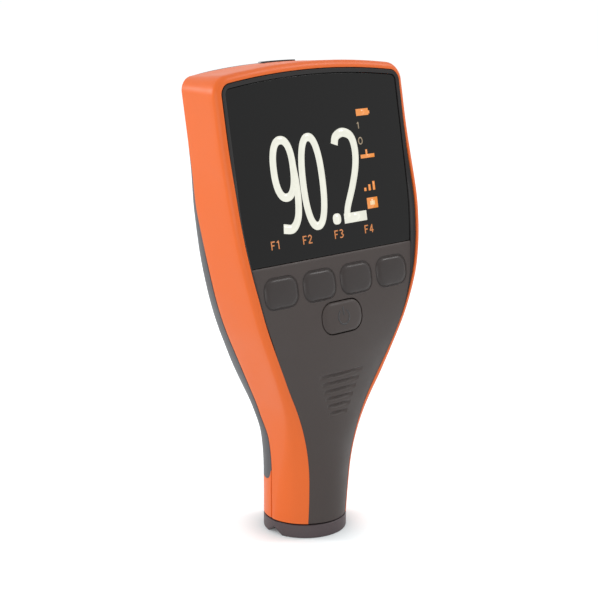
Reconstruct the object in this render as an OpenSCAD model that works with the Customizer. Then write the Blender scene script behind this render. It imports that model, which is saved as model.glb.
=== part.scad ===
/* [Body] */
// Overall height, standing on the probe foot
body_h = 141; // [139:1:146]
// Width of the head
head_w = 73; // [72:1:77]
// Diameter of the neck and of the probe foot
neck_d = 25.2; // [24.8:0.2:26.4]
// Height of the widening head above the straight neck
head_h = 123; // [121.8:0.2:124]
// Lean of the widening sides from upright, degrees
flare_tilt = 25.4; // [24.8:0.1:26]
// Radius of the hollow curve under the flare
hollow_r = 59; // [57:0.5:61]
// Radius of the shoulder curve above the flare
shoulder_r = 98.5; // [96:0.5:101]
// Corner radius at the top of the head
corner_r = 5; // [4.8:0.1:6]
// Radius of the crowned top edge
crown_r = 240; // [200:1:300]
// Wall thickness of the mouldings
wall = 1.8; // [1.6:0.1:2]
// Seam between neighbouring mouldings
seam = 0.25; // [0.2:0.05:0.35]
// Width of the orange rim in front view
rim_w = 2; // [1.9:0.1:2.3]
// How far the orange rim stands in front of the face beside the display
rim_proud = 1.3; // [1:0.1:1.4]
// Depth of the orange side of the head
side_d = 16.7; // [16.2:0.1:17.2]
// Distance of the back behind the foot's centre
back_y = 18.6; // [18.3:0.1:19.1]

/* [Face] */
// Lean of the face from upright, degrees
face_tilt = 10.5; // [10:0.5:11]
// Distance of the face in front of the foot's centre at the soft keys
face_y = 14.2; // [14:0.1:14.6]
// Half of the front panel's angle on the round neck, degrees
panel_angle = 38; // [34:1:42]
// Bezel between the panel's edge and the display lens
bezel_w = 1.2; // [1:0.1:1.6]
// Height from the display's lower edge to the top
display_h = 54.8; // [54:0.2:55.6]
// Thickness of the display lens
lens_t = 1.1; // [0.9:0.1:1.2]
// Number of grip grooves on the neck
groove_count = 6; // [4:1:6]
// Distance of the top groove below the power key
groove_drop = 17; // [16.4:0.2:18.4]
// Pitch of the grooves
groove_pitch = 2.43; // [2.2:0.01:2.5]
// Width of the top groove
groove_w = 15.6; // [14:0.2:17]

/* [Keys] */
// Distance of the soft keys below the display's lower edge
key_drop = 7.7; // [7.2:0.1:8.2]
// Distance between soft keys
key_pitch = 14.6; // [14.2:0.1:14.8]
// Width of a soft key
softkey_w = 12.2; // [11.4:0.1:12.4]
// Height of a soft key
softkey_h = 8.6; // [8.2:0.1:8.8]
// Distance of the power key below the soft keys
power_drop = 10.1; // [9.9:0.1:10.5]
// Width of the power key
power_w = 15.6; // [14:0.1:16.4]
// Height of the power key
power_h = 9.2; // [8.8:0.1:9.4]
// Corner radius of a soft key
softkey_r = 3.2; // [2.4:0.1:3.4]
// Corner radius of the power key
power_r = 4; // [3:0.1:4.2]
// How far a key is pressed
key_travel = 0.6; // [0.4:0.05:0.7]
// Gap round a key
key_gap = 0.3; // [0.25:0.05:0.4]
// How far a key stands out of the face
key_proud = 0.35; // [0.2:0.05:0.5]

/* [Battery] */
// Diameter of a cell
cell_d = 14.5; // [14:0.1:14.6]
// Length of a cell
cell_l = 50.5; // [49.5:0.1:50.6]
// Distance of the cells' middle below the top
cell_drop = 46; // [45.6:0.2:46.4]
// Room between the cells and the crest of the battery cover
door_room = 2.1; // [2:0.1:2.6]

/* [Probe] */
// Height of the probe foot
foot_h = 4.1; // [3.8:0.1:4.6]
// Diameter of the probe's sliding sleeve
sleeve_d = 10; // [9.6:0.1:10.6]
// Gap between the sleeve and its guide
sleeve_gap = 0.06; // [0.04:0.01:0.09]
// How far the sleeve slides in from flush
sleeve_travel = 1; // [0.6:0.1:1.2]
// Half width of the V groove in the foot
vee_w = 3; // [2.4:0.1:3.4]
// Depth of the V groove in the foot
vee_h = 2.2; // [1.8:0.1:2.4]

/* [Hidden] */

$fn = 64;
dark_grey = "#4a4647";
orange = "#f0733a";
steel = "#b9bcc0";

head_r = head_w/2;
neck_r = neck_d/2;
flare_z = body_h - head_h;
display_z = body_h - display_h;
key_z = display_z - key_drop;
power_z = key_z - power_drop;
groove_z = power_z - groove_drop;
foot_seam = 0.5;
seam_z = foot_h + foot_seam;
line_x0 = neck_r + hollow_r*(1 - cos(flare_tilt));
line_z0 = flare_z + hollow_r*sin(flare_tilt);
flare_len = (head_r - line_x0 - shoulder_r*(1 - cos(flare_tilt)))/sin(flare_tilt);
shoulder_z = line_z0 + flare_len*cos(flare_tilt) + shoulder_r*sin(flare_tilt);
corner_z = body_h - corner_r;

face_slope = tan(face_tilt);
// The face bends from its lean to the neck between these heights
bend_top = power_z;
bend_low = bend_top - 16.5;
neck_slope = -0.155;
foot_slope = -0.085;
bend_curve = (face_slope - neck_slope)/(2*(bend_top - bend_low));
neck_top = seam_z;

// Heights between which the neck's section turns into the head's
edge_top = flare_z + 62;
edge_low = flare_z + 36;
round_top = flare_z + 31;
rim_top = flare_z + 44;
proud_low = flare_z + 46;
proud_top = flare_z + 72;
proud_fall = body_h - 46.4;
proud_end = body_h - 17.2;
grip_low = flare_z + 11.5;
grip_top = flare_z + 20.4;
side_low = flare_z + 52;
side_top = flare_z + 99;
tuck_low = body_h - 41;
tuck_top = body_h - 26;
rear_low = 16.5;
hump_low = flare_z + 14.7;
hump_top = flare_z + 37.7;
neck_edge_y = 1.25;
grip_y = 2.6;
neck_back_in = 0.6;
rear_edge_in = 0.2;
rear_edge_tuck = 1;
back_round = 14;
back_end = 0.97;
back_lip = 0.2;
back_min = 4.5;
crown_low = body_h - 33;
seal_low = flare_z + 18;
seal_gap = 0.75;
seal_t = 0.9;
seal_d = 1.8;
seal_up = 0.4;

groove_t = 1.1;
groove_depth = 0.8;
groove_taper = 0.11;

// Depths below the face, measured square to it
face_t = 1.8;
ledge_w = 2.2;
tape_t = 0.3;
module_d = face_t + tape_t + 0.1;
module_t = 2.6;
module_w = head_w - 15;
module_h = body_h - display_z - 12.8;
tape_rim = 3;
tape_over = 1;
display_mid = (display_z + body_h)/2;
flex_w = 16;
flex_h = 8;
board_d = 5.4;
board_t = 1.2;
mat_t = 0.8;
mat_d = board_d - 0.1 - mat_t;
flange_t = 0.8;
flange_w = 0.7;
flange_cut = 1.2;
dome_r = 3.2;
power_dome_r = 2;
dome_gap = 0.15;
flange_gap = 0.45;
key_back = face_t + flange_gap + flange_t;
mat_low = power_z - 6.4;
plate_d = 7.4;
plate_t = 1.2;
frame_in = rim_w + wall + 3;
frame_drop = 4.5;
board_in = frame_in + 0.5;
board_low = key_z - 20.5;
post_clear = 0.5;
room = 1;
chip_room = 40;
chip_drop = 8.5;
post_r = 2.9;
post_gap = 1.2;
// Chips: place across and up from the soft keys, width, height, thickness
chips = [[0, 2, 10, 10, 0.9], [-16, 4, 6, 5, 0.8], [15, 5, 7, 4, 0.8], [16, -6, 4, 4, 0.6],
    [-14, -7, 5, 3, 0.6]];
solder = 0.02;
buzzer_r = 4.5;
buzzer_h = 3.5;
buzzer_x = head_r - 13.5;
buzzer_v = 22;

cell_z = body_h - cell_drop;
cell_gap = 0.2;
tray_t = 0.8;
tray_gap = 0.525;
cell_x = cell_d/2 + cell_gap;
tray_wall = 1;
contact_room = 3.45;
contact_r0 = 1.6;
contact_r1 = 2.4;
contact_wire = 0.4;
contact_w = 9;
contact_h = 5.6;
tray_w = 2*(cell_x + cell_d/2 + cell_gap + tray_wall);
tray_h = cell_l + 2*(contact_room + tray_wall);
tray_y = face_line(cell_z + tray_h/2) + (board_d + board_t)/cos(face_tilt) + tray_gap;
cell_y = tray_y + tray_t + cell_gap + cell_d/2;
tray_rim = cell_y + 3.05;
door_gap = 0.35;
door_fit = 0.3;
door_w = tray_w + 2*(wall + door_fit);
door_h = tray_h - 2*tray_wall + door_fit*2;
door_y = cell_y + cell_d/2 + door_room + wall;
door_r = 5;
door_ball = 180;
door_seat = tray_rim + door_gap;
door_rib_r = 0.45;
door_rib_l = 18;
door_rib_pitch = 2;
door_rib_top = 7;

screw_r = 1.2;
screw_head_r = 2.4;
screw_head_h = 1.2;
screw_fit = 0.05;
cross_w = 2.6;
cross_t = 0.5;
cross_d = 0.6;
screw_l = 10;
screw_high_x = 12;
screw_low_x = 10;
screw_high_z = body_h - 10.5;
screw_low_z = cell_z - tray_h/2 - 6.8;
screw_places = [[-screw_high_x, screw_high_z], [screw_high_x, screw_high_z],
    [-screw_low_x, screw_low_z], [screw_low_x, screw_low_z]];

flap_w = 13;
flap_d = 7;
flap_t = 2.2;
flap_drop = 0.25;
flap_gap = 0.35;
flap_y = rear_edge_y(body_h) - 1.1;
socket_w = 7.7;
socket_d = 3.9;
socket_l = 9;
socket_t = 0.4;
socket_deep = 7;
socket_foot = 6.4;
socket_step = 5;
socket_gap = 1.6;
socket_room = 1.15;
socket_y = flap_y - flap_d/2;
socket_top = body_h - flap_drop - flap_t - 0.4;

guide_r = neck_r - 3.4;
guide_top = 33;
ledge_z = 17;
bore_r = sleeve_d/2 + sleeve_gap;
sleeve_top = 22;
sleeve_drop = 1.5;
collar_r = sleeve_d/2 + 1.4;
collar_gap = 0.3;
core_r = 1.6;
coil_r = 3.6;
tip_h = 2.4;
edge_cut = 0.4;
coil_z = 3.1;
coil_h = 10;
coil_fit = 0.1;
probe_wire = 0.45;
probe_coil_r = 3.4;
plug_w = 8;
plug_d = 5;
plug_h = 5;
cap_t = 2;

function smooth(low, high, v) = let (t = min(max((v - low)/(high - low), 0), 1)) t*t*(3 - 2*t);
function mix(a, b, t) = a + (b - a)*t;

// Half width at height z of the front view's outline, set in by n
function half_w(z, n) =
    z <= flare_z ? neck_r - n :
    z <= flare_z + (hollow_r + n)*sin(flare_tilt) ?
        neck_r + hollow_r - sqrt(pow(hollow_r + n, 2) - pow(z - flare_z, 2)) :
    z <= shoulder_z - (shoulder_r - n)*sin(flare_tilt) ?
        line_x0 + (z - line_z0)*tan(flare_tilt) - n/cos(flare_tilt) :
    z <= shoulder_z ?
        head_r - shoulder_r + sqrt(pow(shoulder_r - n, 2) - pow(shoulder_z - z, 2)) :
    z <= turn_z(n) ? head_r - n :
    head_r - n - turn_r(n) + sqrt(max(pow(turn_r(n), 2) - pow(z - turn_z(n), 2), 0));

// Radius and middle height of the top corner, set in by n
function turn_r(n) = max(corner_r - n, 0.5);
function turn_z(n) = body_h - n - turn_r(n);

// Front surface on the centre line: round neck, then a soft bend, then the leaning face
function face_line(z) = -face_y + face_slope*(z - key_z);
function bend_y(z) = face_line(z) + bend_curve*pow(max(bend_top - z, 0), 2);
function neck_y(t) = let (s = t*t*(3 - 2*t), span = bend_low - neck_top)
    mix(-neck_r, bend_y(bend_low), s) + t*(t - 1)*span*(t*neck_slope + (t - 1)*foot_slope);
function front_y(z) = z >= bend_low ? bend_y(z) :
    neck_y(max((z - neck_top)/(bend_low - neck_top), 0));

// The panel falls back towards its edges on the neck
function edge_drop(z) = neck_r*(1 - cos(panel_angle))*(1 - smooth(edge_low, edge_top, z));
function edge_y(z) = front_y(z) + edge_drop(z);
function edge_in(z) = mix(neck_r*(1 - sin(panel_angle)), rim_w, smooth(seam_z, rim_top, z));
function edge_back_in(z) = wall + (edge_round(z) - wall)*edge_in(z)/edge_round(z);
function edge_round(z) = mix(neck_r, rim_w, smooth(seam_z, round_top, z));

// The orange rim stands out in front of the panel beside the display
function rim_out(z) = rim_proud*smooth(proud_low, proud_top, z)*(1 - smooth(proud_fall, proud_end, z));

// Rear edge of the orange side, and the back surface behind it
function rear_edge_y(z) = mix(mix(neck_edge_y, grip_y, smooth(grip_low, grip_top, z)),
    face_line(z) + side_d, smooth(side_low, side_top, z));
function rear_in(z) = rear_edge_in + rear_edge_tuck*smooth(tuck_low, tuck_top, z);
function back_fall(z) = let (t = min(max((z - body_h + back_round)/back_round, 0), back_end))
    sqrt(1 - t*t);
function back_line(z) = max(mix(neck_r - neck_back_in, back_y, smooth(hump_low, hump_top, z)),
    rear_edge_y(z) + back_min);
function back_rise(z) = (back_line(z) - rear_edge_y(z))*back_fall(z);

// The top edge is crowned: heights near the top sink with the distance from the middle
function crown_z(x, z) = z - x*x/(2*crown_r)*smooth(crown_low, body_h, z);

function spread(a, b, n) = [for (i = [0:n - 1]) mix(a, b, i/n)];
function corner_rows(n, inset) = [for (i = [0:n])
    turn_z(inset) + turn_r(inset)*sin(90*i/n)];

// Solid skin through rings of equal length, each the outer line followed by the inner line back
module loft(rings) {
    m = len(rings[0]);
    k = len(rings);
    h = m/2;
    last = (k - 1)*m;
    sides = [for (i = [0:k - 2], j = [0:m - 1])
        let (a = i*m + j, b = i*m + (j + 1)%m)
        each [[a, a + m, b + m], [a, b + m, b]]];
    start = [for (j = [0:h - 2]) each [[j, j + 1, m - 2 - j], [j, m - 2 - j, m - 1 - j]]];
    end = [for (f = start) [f[2] + last, f[1] + last, f[0] + last]];
    polyhedron([for (r = rings) each r], concat(sides, start, end));
}

// Places children on the face at height z, with local z pointing out of the face
module on_face(z, tilt = face_tilt) {
    translate([0, bend_y(z), z]) rotate([90 - tilt, 0, 0]) children();
}

// Slab parallel to the face between two depths
module face_slab(d0, d1) {
    on_face(key_z) translate([-head_w, -body_h, -d1]) cube([2*head_w, 2*body_h, d1 - d0]);
}

// Upright prism along y of the head's outline, set in by n, above height z
module head_prism(n, z) {
    rows = concat(spread(z, shoulder_z, 8), spread(shoulder_z, turn_z(n), 2), corner_rows(6, n));
    right = [for (r = rows) let (x = half_w(r, n)) [x, crown_z(x, r)]];
    tops = [for (i = [1:5]) let (x = (head_r - corner_r)*(1 - i/3)) [x, crown_z(x, body_h - n)]];
    left = [for (i = [len(right) - 1:-1:0]) [-right[i].x, right[i].y]];
    rotate([90, 0, 0]) linear_extrude(2*head_w, center = true) polygon(concat(right, tops, left));
}

module rounded(w, h, r) {
    square([w - 2*r, h], center = true);
    square([w, h - 2*r], center = true);
    for (x = [-1, 1], y = [-1, 1]) translate([x*(w/2 - r), y*(h/2 - r)]) circle(r);
}

// Upright rounded prism along y between two depths
module back_prism(w, h, r, y0, y1) {
    translate([0, y1, cell_z]) rotate([90, 0, 0]) linear_extrude(y1 - y0) rounded(w, h, r);
}

// Round bar along y
module y_bar(r, y0, y1) {
    translate([0, y0, 0]) rotate([-90, 0, 0]) cylinder(r = r, h = y1 - y0);
}

module front_skin() {
    rows = concat(spread(seam_z, flare_z, 4), spread(flare_z, shoulder_z, 16),
        spread(shoulder_z, corner_z, 2), corner_rows(5, rim_w + seam));
    steps = 12;
    shares = [for (i = [0:steps]) 2*i/steps - 1];
    loft([for (z = rows) let (w = half_w(z, edge_in(z) + seam), w_in = half_w(z, edge_back_in(z) + seam))
        concat([for (s = shares) panel_point(s, w, z, 0)],
            [for (s = shares) panel_point(-s, w_in, z, face_t)])]);
}

// Point of the front panel at share s of its half width, sunk by depth
function panel_point(s, w, z, depth) = let (zc = crown_z(s*w, z))
    [s*w, front_y(zc) + edge_drop(zc)*s*s + depth, zc];

module key_hole(w, h, r) {
    translate([0, 0, -3*face_t]) linear_extrude(6*face_t) rounded(w + 2*key_gap, h + 2*key_gap, r);
}

// Grip groove: a thin slot across the neck's front, shorter towards the foot
module grip_groove(i) {
    z = groove_z - i*groove_pitch;
    w = groove_w*(1 - groove_taper*i);
    translate([-w/2, front_y(z) - 1, z - groove_t/2]) cube([w, 1 + groove_depth, groove_t]);
}

module front_cover() {
    color(dark_grey) difference() {
        front_skin();
        intersection() {
            head_prism(rim_w + seam + bezel_w, display_z);
            face_slab(-face_t, lens_t + 0.1);
        }
        head_prism(rim_w + seam + bezel_w + ledge_w, display_z + ledge_w);
        on_face(key_z) for (i = [-1.5:1:1.5])
            translate([i*key_pitch, 0, 0]) key_hole(softkey_w, softkey_h, softkey_r + key_gap);
        on_face(power_z, power_tilt()) key_hole(power_w, power_h, power_r + key_gap);
        for (i = [0:groove_count - 1]) grip_groove(i);
    }
}

function power_tilt() = atan(face_slope - 2*bend_curve*(bend_top - power_z));

// One section of the orange frame: outer line from the panel to the rear edge, inner line back
function frame_ring(place, side) =
    let (n_edge = edge_in(place(0).z), a = edge_round(place(0).z))
    let (start = asin(1 - n_edge/a), steps = 5)
    let (angles = [for (i = [0:steps]) mix(start, 90, i/steps)])
    let (z_in = place(n_edge).z, y_side = edge_y(z_in) - rim_out(z_in) + a*cos(start))
    let (z0 = place(0).z, rear = rear_in(z0), y_rear = rear_edge_y(place(rear).z))
    [for (q = concat(
        [for (g = angles) [a*(1 - sin(g)), y_side - a*cos(g)]],
        [[rear, y_rear], [rear + wall, y_rear]],
        [for (i = [steps:-1:0]) let (g = angles[i], b = a - wall)
            [wall + b*(1 - sin(g)), y_side - b*cos(g)]]))
        let (p = place(q[0])) [side*p.x, q[1], p.z]];

// Places along the outline, each a function of the distance that a point is set in
function side_place(z) = function (n) outline_point(half_w(z, n), z);
function corner_place(g) = function (n) outline_point(head_r - corner_r + (corner_r - n)*cos(g),
    corner_z + (corner_r - n)*sin(g));
function top_place(x) = function (n) outline_point(x, body_h - n);
function outline_point(x, z) = [x, 0, crown_z(x, z)];

// Sections all the way round from one side of the neck over the top to the other
function around(low, section) =
    let (places = concat(
        [for (z = concat(low < flare_z ? spread(low, flare_z, 4) : [],
            spread(max(low, flare_z), shoulder_z, 16), spread(shoulder_z, corner_z, 3))) side_place(z)],
        [for (i = [0:5]) corner_place(15*i)],
        [for (i = [0:3]) top_place((head_r - corner_r)*(1 - i/4))]))
    concat([for (p = places) section(p, 1)], [section(top_place(0), 1)],
        [for (i = [len(places) - 1:-1:0]) section(places[i], -1)]);

module mid_case() {
    color(orange) difference() {
        loft(around(seam_z, function (place, side) frame_ring(place, side)));
        translate([-flap_w/2 - flap_gap, flap_y - flap_d - flap_gap, body_h - 2*flap_t])
            cube([flap_w + 2*flap_gap, flap_d + 2*flap_gap, 4*flap_t]);
    }
}

module neck_collar() {
    h = rear_low - seam_z - seam;
    color(orange) translate([0, 0, seam_z]) difference() {
        cylinder(r = neck_r, h = h);
        translate([0, 0, -1]) cylinder(r = neck_r - wall, h = h + 2);
        translate([-neck_d, neck_edge_y + seam - 2*neck_d, -1]) cube([2*neck_d, 2*neck_d, h + 2]);
    }
}

module rear_skin() {
    rows = concat(rear_low < flare_z ? spread(rear_low, flare_z, 2) : [],
        spread(max(rear_low, flare_z), shoulder_z, 16),
        spread(shoulder_z, corner_z, 5), corner_rows(6, rear_edge_in + rear_edge_tuck + seam));
    steps = 16;
    turns = [for (i = [0:steps]) 180*i/steps];
    loft([for (z = rows) let (w = half_w(z, rear_in(z)), rise = max(back_rise(z), wall + back_lip))
        concat([for (g = turns) back_point(w, rise, g, z)],
            [for (g = turns) back_point(w - wall, rise - wall, 180 - g, z)])]);
}

// Point of the back's round section at angle g
function back_point(w, rise, g, z) = let (zc = crown_z(w*cos(g), z))
    [w*cos(g), rear_edge_y(zc) + seam + rise*sin(g), zc];

// One section of the seal behind the joint between the orange frame and the back
function seal_ring(place, side) =
    let (n = rear_in(place(0).z) + wall + seal_gap, y = rear_edge_y(place(n).z))
    let (front = y + seal_up - seal_d, back = y + seal_up)
    [for (q = [[n, front], [n, back], [n + seal_t, back], [n + seal_t, front]])
        let (p = place(q[0])) [side*p.x, q[1], p.z]];

module case_seal() {
    color("#242426") loft(around(seal_low, function (place, side) seal_ring(place, side)));
}

function back_at(x, z) = rear_edge_y(z) + seam + back_rise(z)*sqrt(1 - pow(x/half_w(z, rear_in(z)), 2));
function screw_top(p) = back_at(p[0], p[1]) - 0.35;

module rear_cover() {
    color(dark_grey) difference() {
        rear_skin();
        back_prism(door_w + 2*door_gap, door_h + 2*door_gap, door_r, 0, 2*door_y);
        for (p = screw_places) translate([p[0], 0, p[1]]) {
            y_bar(screw_r + screw_fit, 0, 2*back_y);
            translate([0, screw_top(p) - screw_head_h - screw_fit, 0]) rotate([-90, 0, 0])
                cylinder(r1 = screw_r + screw_fit, r2 = screw_head_r + screw_fit, h = screw_head_h);
            y_bar(screw_head_r + screw_fit, screw_top(p) - screw_fit, 2*back_y);
        }
    }
}

module door_ball(inset) {
    translate([0, door_y - door_ball, cell_z]) sphere(r = door_ball - inset, $fn = 128);
}

module battery_cover() {
    skirt = wall;
    color(dark_grey) difference() {
        intersection() {
            back_prism(door_w, door_h, door_r, door_seat, door_y + 1);
            door_ball(0);
        }
        intersection() {
            back_prism(door_w - 2*skirt, door_h - 2*skirt, door_r - skirt, door_seat - 1, door_y + 1);
            door_ball(wall);
        }
        for (i = [0:3])
            translate([0, door_y - 2*door_rib_r, cell_z + door_h/2 - door_rib_top - i*door_rib_pitch])
            rotate([0, 90, 0]) cylinder(r = door_rib_r, h = door_rib_l, center = true, $fn = 24);
    }
}

module usb_flap() {
    color("#3a3838") {
        translate([-flap_w/2, flap_y - flap_d, body_h - flap_drop - flap_t]) cube([flap_w, flap_d, flap_t]);
        translate([0, flap_y - flap_d, body_h - flap_drop - 0.5]) rotate([90, 0, 0])
            cylinder(r = 0.4, h = 0.2, $fn = 24);
    }
}

module display_lens() {
    fit = 0.12;
    color("#1b1c1d") intersection() {
        head_prism(rim_w + seam + bezel_w + fit, display_z + fit);
        face_slab(0, lens_t);
    }
}

module lens_tape() {
    color("#26262a") difference() {
        on_face(display_mid) translate([0, 0, -face_t - tape_t - 0.05]) linear_extrude(tape_t)
            rounded(module_w + 2*tape_over, module_h + 2*tape_over, 2);
        on_face(display_mid) translate([0, 0, -2*module_d]) linear_extrude(3*module_d)
            rounded(module_w + 2*(tape_over - tape_rim), module_h + 2*(tape_over - tape_rim), 1);
    }
}

module display_module() {
    color("#30343a") on_face(display_mid) translate([0, 0, -module_d - module_t])
        linear_extrude(module_t) rounded(module_w, module_h, 1);
}

module display_flex() {
    color("#c8873a") on_face(display_z + 5) translate([-flex_w/2, -3.5, 0.1 - board_d])
        cube([flex_w, flex_h, board_d - module_d - module_t - 0.2]);
}

// Key: cap through the cover, flange behind it
module key(w, h, r, proud) {
    translate([0, 0, -key_back]) linear_extrude(key_back + proud) rounded(w, h, r);
    translate([0, 0, -key_back])
        linear_extrude(flange_t) rounded(w + 2*flange_w, h - 2*flange_cut, 1);
}

module softkey(i) {
    color(dark_grey) on_face(key_z) translate([(i - 1.5)*key_pitch, 0, 0])
        key(softkey_w, softkey_h, softkey_r, key_proud);
}

module softkey_1() { softkey(0); }
module softkey_2() { softkey(1); }
module softkey_3() { softkey(2); }
module softkey_4() { softkey(3); }

module power_key() {
    color(dark_grey) on_face(power_z, power_tilt()) key(power_w, power_h, power_r, key_proud);
}

// Rubber mat on the board, with a dome under each key
module key_mat() {
    dome_h = mat_d - key_back - key_travel - dome_gap;
    color("#8d8f92") {
        intersection() {
            head_prism(frame_in, mat_low);
            face_slab(mat_d, mat_d + mat_t);
            translate([-head_w, -head_w, 0]) cube([2*head_w, 2*head_w, display_z - 1]);
        }
        on_face(key_z) for (i = [-1.5:1:1.5])
            translate([i*key_pitch, 0, -mat_d - 0.1]) cylinder(r = dome_r, h = dome_h + 0.1);
        on_face(key_z) translate([0, (power_z - key_z)/cos(face_tilt), -mat_d - 0.1])
            cylinder(r = power_dome_r, h = dome_h + 0.1);
    }
}

module main_board() {
    color("#1f5c3a") difference() {
        intersection() {
            head_prism(board_in, board_low);
            face_slab(board_d, board_d + board_t);
        }
        for (p = screw_places) translate([p[0], 0, p[1]]) y_bar(post_r + post_clear, -head_w, head_w);
    }
}

module board_chips() {
    color("#202225") on_face(key_z) for (c = chips)
        translate([c[0] - c[2]/2, c[1] - c[3]/2, -board_d - board_t - c[4]])
            cube([c[2], c[3], c[4] - solder]);
}

module buzzer() {
    color("#17181a") on_face(key_z) translate([buzzer_x, buzzer_v, -board_d - board_t - solder - buzzer_h])
        cylinder(r = buzzer_r, h = buzzer_h);
}

module usb_socket() {
    low = socket_top - socket_l;
    back = face_line(low + 1) + (board_d + board_t)/cos(face_tilt) + socket_gap;
    color(steel) difference() {
        union() {
            translate([-socket_w/2, socket_y - socket_d/2, low]) cube([socket_w, socket_d, socket_l]);
            translate([-socket_foot/2, back, low]) cube([socket_foot, socket_y - back, socket_step]);
        }
        translate([socket_t - socket_w/2, socket_y - socket_d/2 + socket_t, socket_top - socket_deep])
            cube([socket_w - 2*socket_t, socket_d - 2*socket_t, socket_l]);
    }
}

// Inner frame behind the board, with posts for the case screws
module chassis() {
    color("#3b3e42") difference() {
        union() {
            intersection() {
                head_prism(frame_in, screw_low_z - frame_drop);
                face_slab(plate_d, plate_d + plate_t);
            }
            for (p = screw_places) translate([p[0], 0, p[1]])
                y_bar(post_r, face_line(p[1]) + plate_d + 0.4, screw_top(p) - wall - post_gap);
        }
        translate([-tray_w/2 - room, -head_w, cell_z + 3*room])
            cube([tray_w + 2*room, 2*head_w, tray_h/2 - 2*room]);
        translate([-chip_room/2, -head_w, key_z - chip_drop]) cube([chip_room, 2*head_w, chip_room/2]);
        on_face(key_z) translate([buzzer_x, buzzer_v, -head_r]) cylinder(r = buzzer_r + room, h = head_w);
        translate([-socket_w/2 - socket_room, -head_w, cell_z])
            cube([socket_w + 2*socket_room, 2*head_w, body_h]);
        for (p = screw_places) translate([p[0], 0, p[1]])
            y_bar(screw_r + screw_fit, screw_top(p) - screw_l - 2, 2*back_y);
    }
}

module case_screws() {
    color(steel) for (p = screw_places) translate([p[0], 0, p[1]]) difference() {
        union() {
            y_bar(screw_r, screw_top(p) - screw_l, screw_top(p) - 0.8*screw_head_h);
            translate([0, screw_top(p) - screw_head_h, 0]) rotate([-90, 0, 0])
                cylinder(r1 = screw_r, r2 = screw_head_r, h = screw_head_h);
        }
        for (a = [0, 90]) translate([0, screw_top(p), 0]) rotate([0, a, 0])
            cube([cross_w, 2*cross_d, cross_t], center = true);
    }
}

module battery_tray() {
    inner = tray_w - 2*tray_wall;
    color("#2b2d30") translate([0, 0, cell_z]) difference() {
        translate([-tray_w/2, tray_y, -tray_h/2]) cube([tray_w, tray_rim - tray_y, tray_h]);
        translate([-inner/2, tray_y + tray_t, tray_wall - tray_h/2])
            cube([inner, tray_rim, tray_h - 2*tray_wall]);
    }
}

module cell(x, up) {
    translate([x, cell_y, cell_z]) rotate([up ? 0 : 180, 0, 0]) {
        translate([0, 0, -cell_l/2]) cylinder(d = cell_d, h = cell_l - 1.2);
        cylinder(d = 5.4, h = cell_l/2);
    }
}

module battery_left() { color("#a8895c") cell(-cell_x, true); }
module battery_right() { color("#a8895c") cell(cell_x, false); }

// Tapered coil contact, swept along its own helix
module coil(r0, r1, h, wire, turns, sides = 8) {
    n = turns*14;
    loft_tube([for (i = [0:n]) let (t = i/n, g = 360*turns*t, r = mix(r0, r1, t))
        [for (j = [0:sides - 1]) let (c = 360*j/sides)
            [(r + wire*cos(c))*cos(g), (r + wire*cos(c))*sin(g), wire + t*(h - 2*wire) + wire*sin(c)]]]);
}

module loft_tube(rings) {
    m = len(rings[0]);
    last = (len(rings) - 1)*m;
    sides = [for (i = [0:len(rings) - 2], j = [0:m - 1]) let (a = i*m + j, b = i*m + (j + 1)%m)
        each [[a, b, b + m], [a, b + m, a + m]]];
    polyhedron([for (r = rings) each r],
        concat(sides, [[for (j = [m - 1:-1:0]) j]], [[for (j = [0:m - 1]) last + j]]));
}

module battery_springs() {
    color(steel) for (x = [-1, 1])
        translate([x*cell_x, cell_y, cell_z - x*(cell_l/2 + 0.1)])
            rotate([x > 0 ? 180 : 0, 0, 0]) coil(contact_r0, contact_r1, contact_room - 0.2, contact_wire, 3);
}

module battery_plates() {
    color(steel) for (x = [-1, 1])
        translate([x*cell_x, cell_y, cell_z + x*(cell_l/2 + 0.2 + (contact_room - 0.4)/2)])
            cube([contact_w, contact_h, contact_room - 0.4], center = true);
}

module probe_foot() {
    color(dark_grey) difference() {
        union() {
            cylinder(r1 = neck_r - edge_cut, r2 = neck_r, h = edge_cut);
            translate([0, 0, edge_cut]) cylinder(r = neck_r, h = foot_h - edge_cut);
        }
        translate([0, 0, -1]) cylinder(r = bore_r + 0.5, h = foot_h + 2);
        for (s = [-1, 1]) translate([s*(bore_r + 2), 0, 0]) rotate([90, 0, s*90])
            linear_extrude(neck_r) polygon([[-vee_w, -0.01], [vee_w, -0.01], [0, vee_h]]);
    }
}

module probe_guide() {
    color("#2f3236") difference() {
        union() {
            translate([0, 0, foot_h + 0.05]) cylinder(r = guide_r, h = guide_top - foot_h);
            translate([0, 0, foot_h + 0.05]) cylinder(r = neck_r - wall - 0.5, h = 2.5);
        }
        cylinder(r = bore_r, h = 2*guide_top);
        translate([0, 0, ledge_z]) cylinder(r = collar_r + collar_gap, h = guide_top);
    }
}

module probe_cap() {
    color("#2f3236") translate([0, 0, guide_top + 0.1]) cylinder(r = guide_r, h = cap_t);
}

module probe_sleeve() {
    color(steel) difference() {
        union() {
            cylinder(d1 = sleeve_d - 2*edge_cut, d2 = sleeve_d, h = edge_cut);
            translate([0, 0, edge_cut]) cylinder(d = sleeve_d, h = sleeve_top - edge_cut);
            translate([0, 0, ledge_z + sleeve_drop + collar_gap])
                cylinder(r = collar_r, h = sleeve_top - ledge_z - sleeve_drop - collar_gap);
        }
        translate([0, 0, -1]) cylinder(r = core_r + coil_fit, h = sleeve_top + 2);
        translate([0, 0, coil_z - coil_fit]) cylinder(r = coil_r + coil_fit, h = coil_h + 2*coil_fit);
    }
}

module probe_core() {
    color("#3d3d40") translate([0, 0, tip_h + 0.05]) cylinder(r = core_r, h = sleeve_top - tip_h - 1);
}

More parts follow.
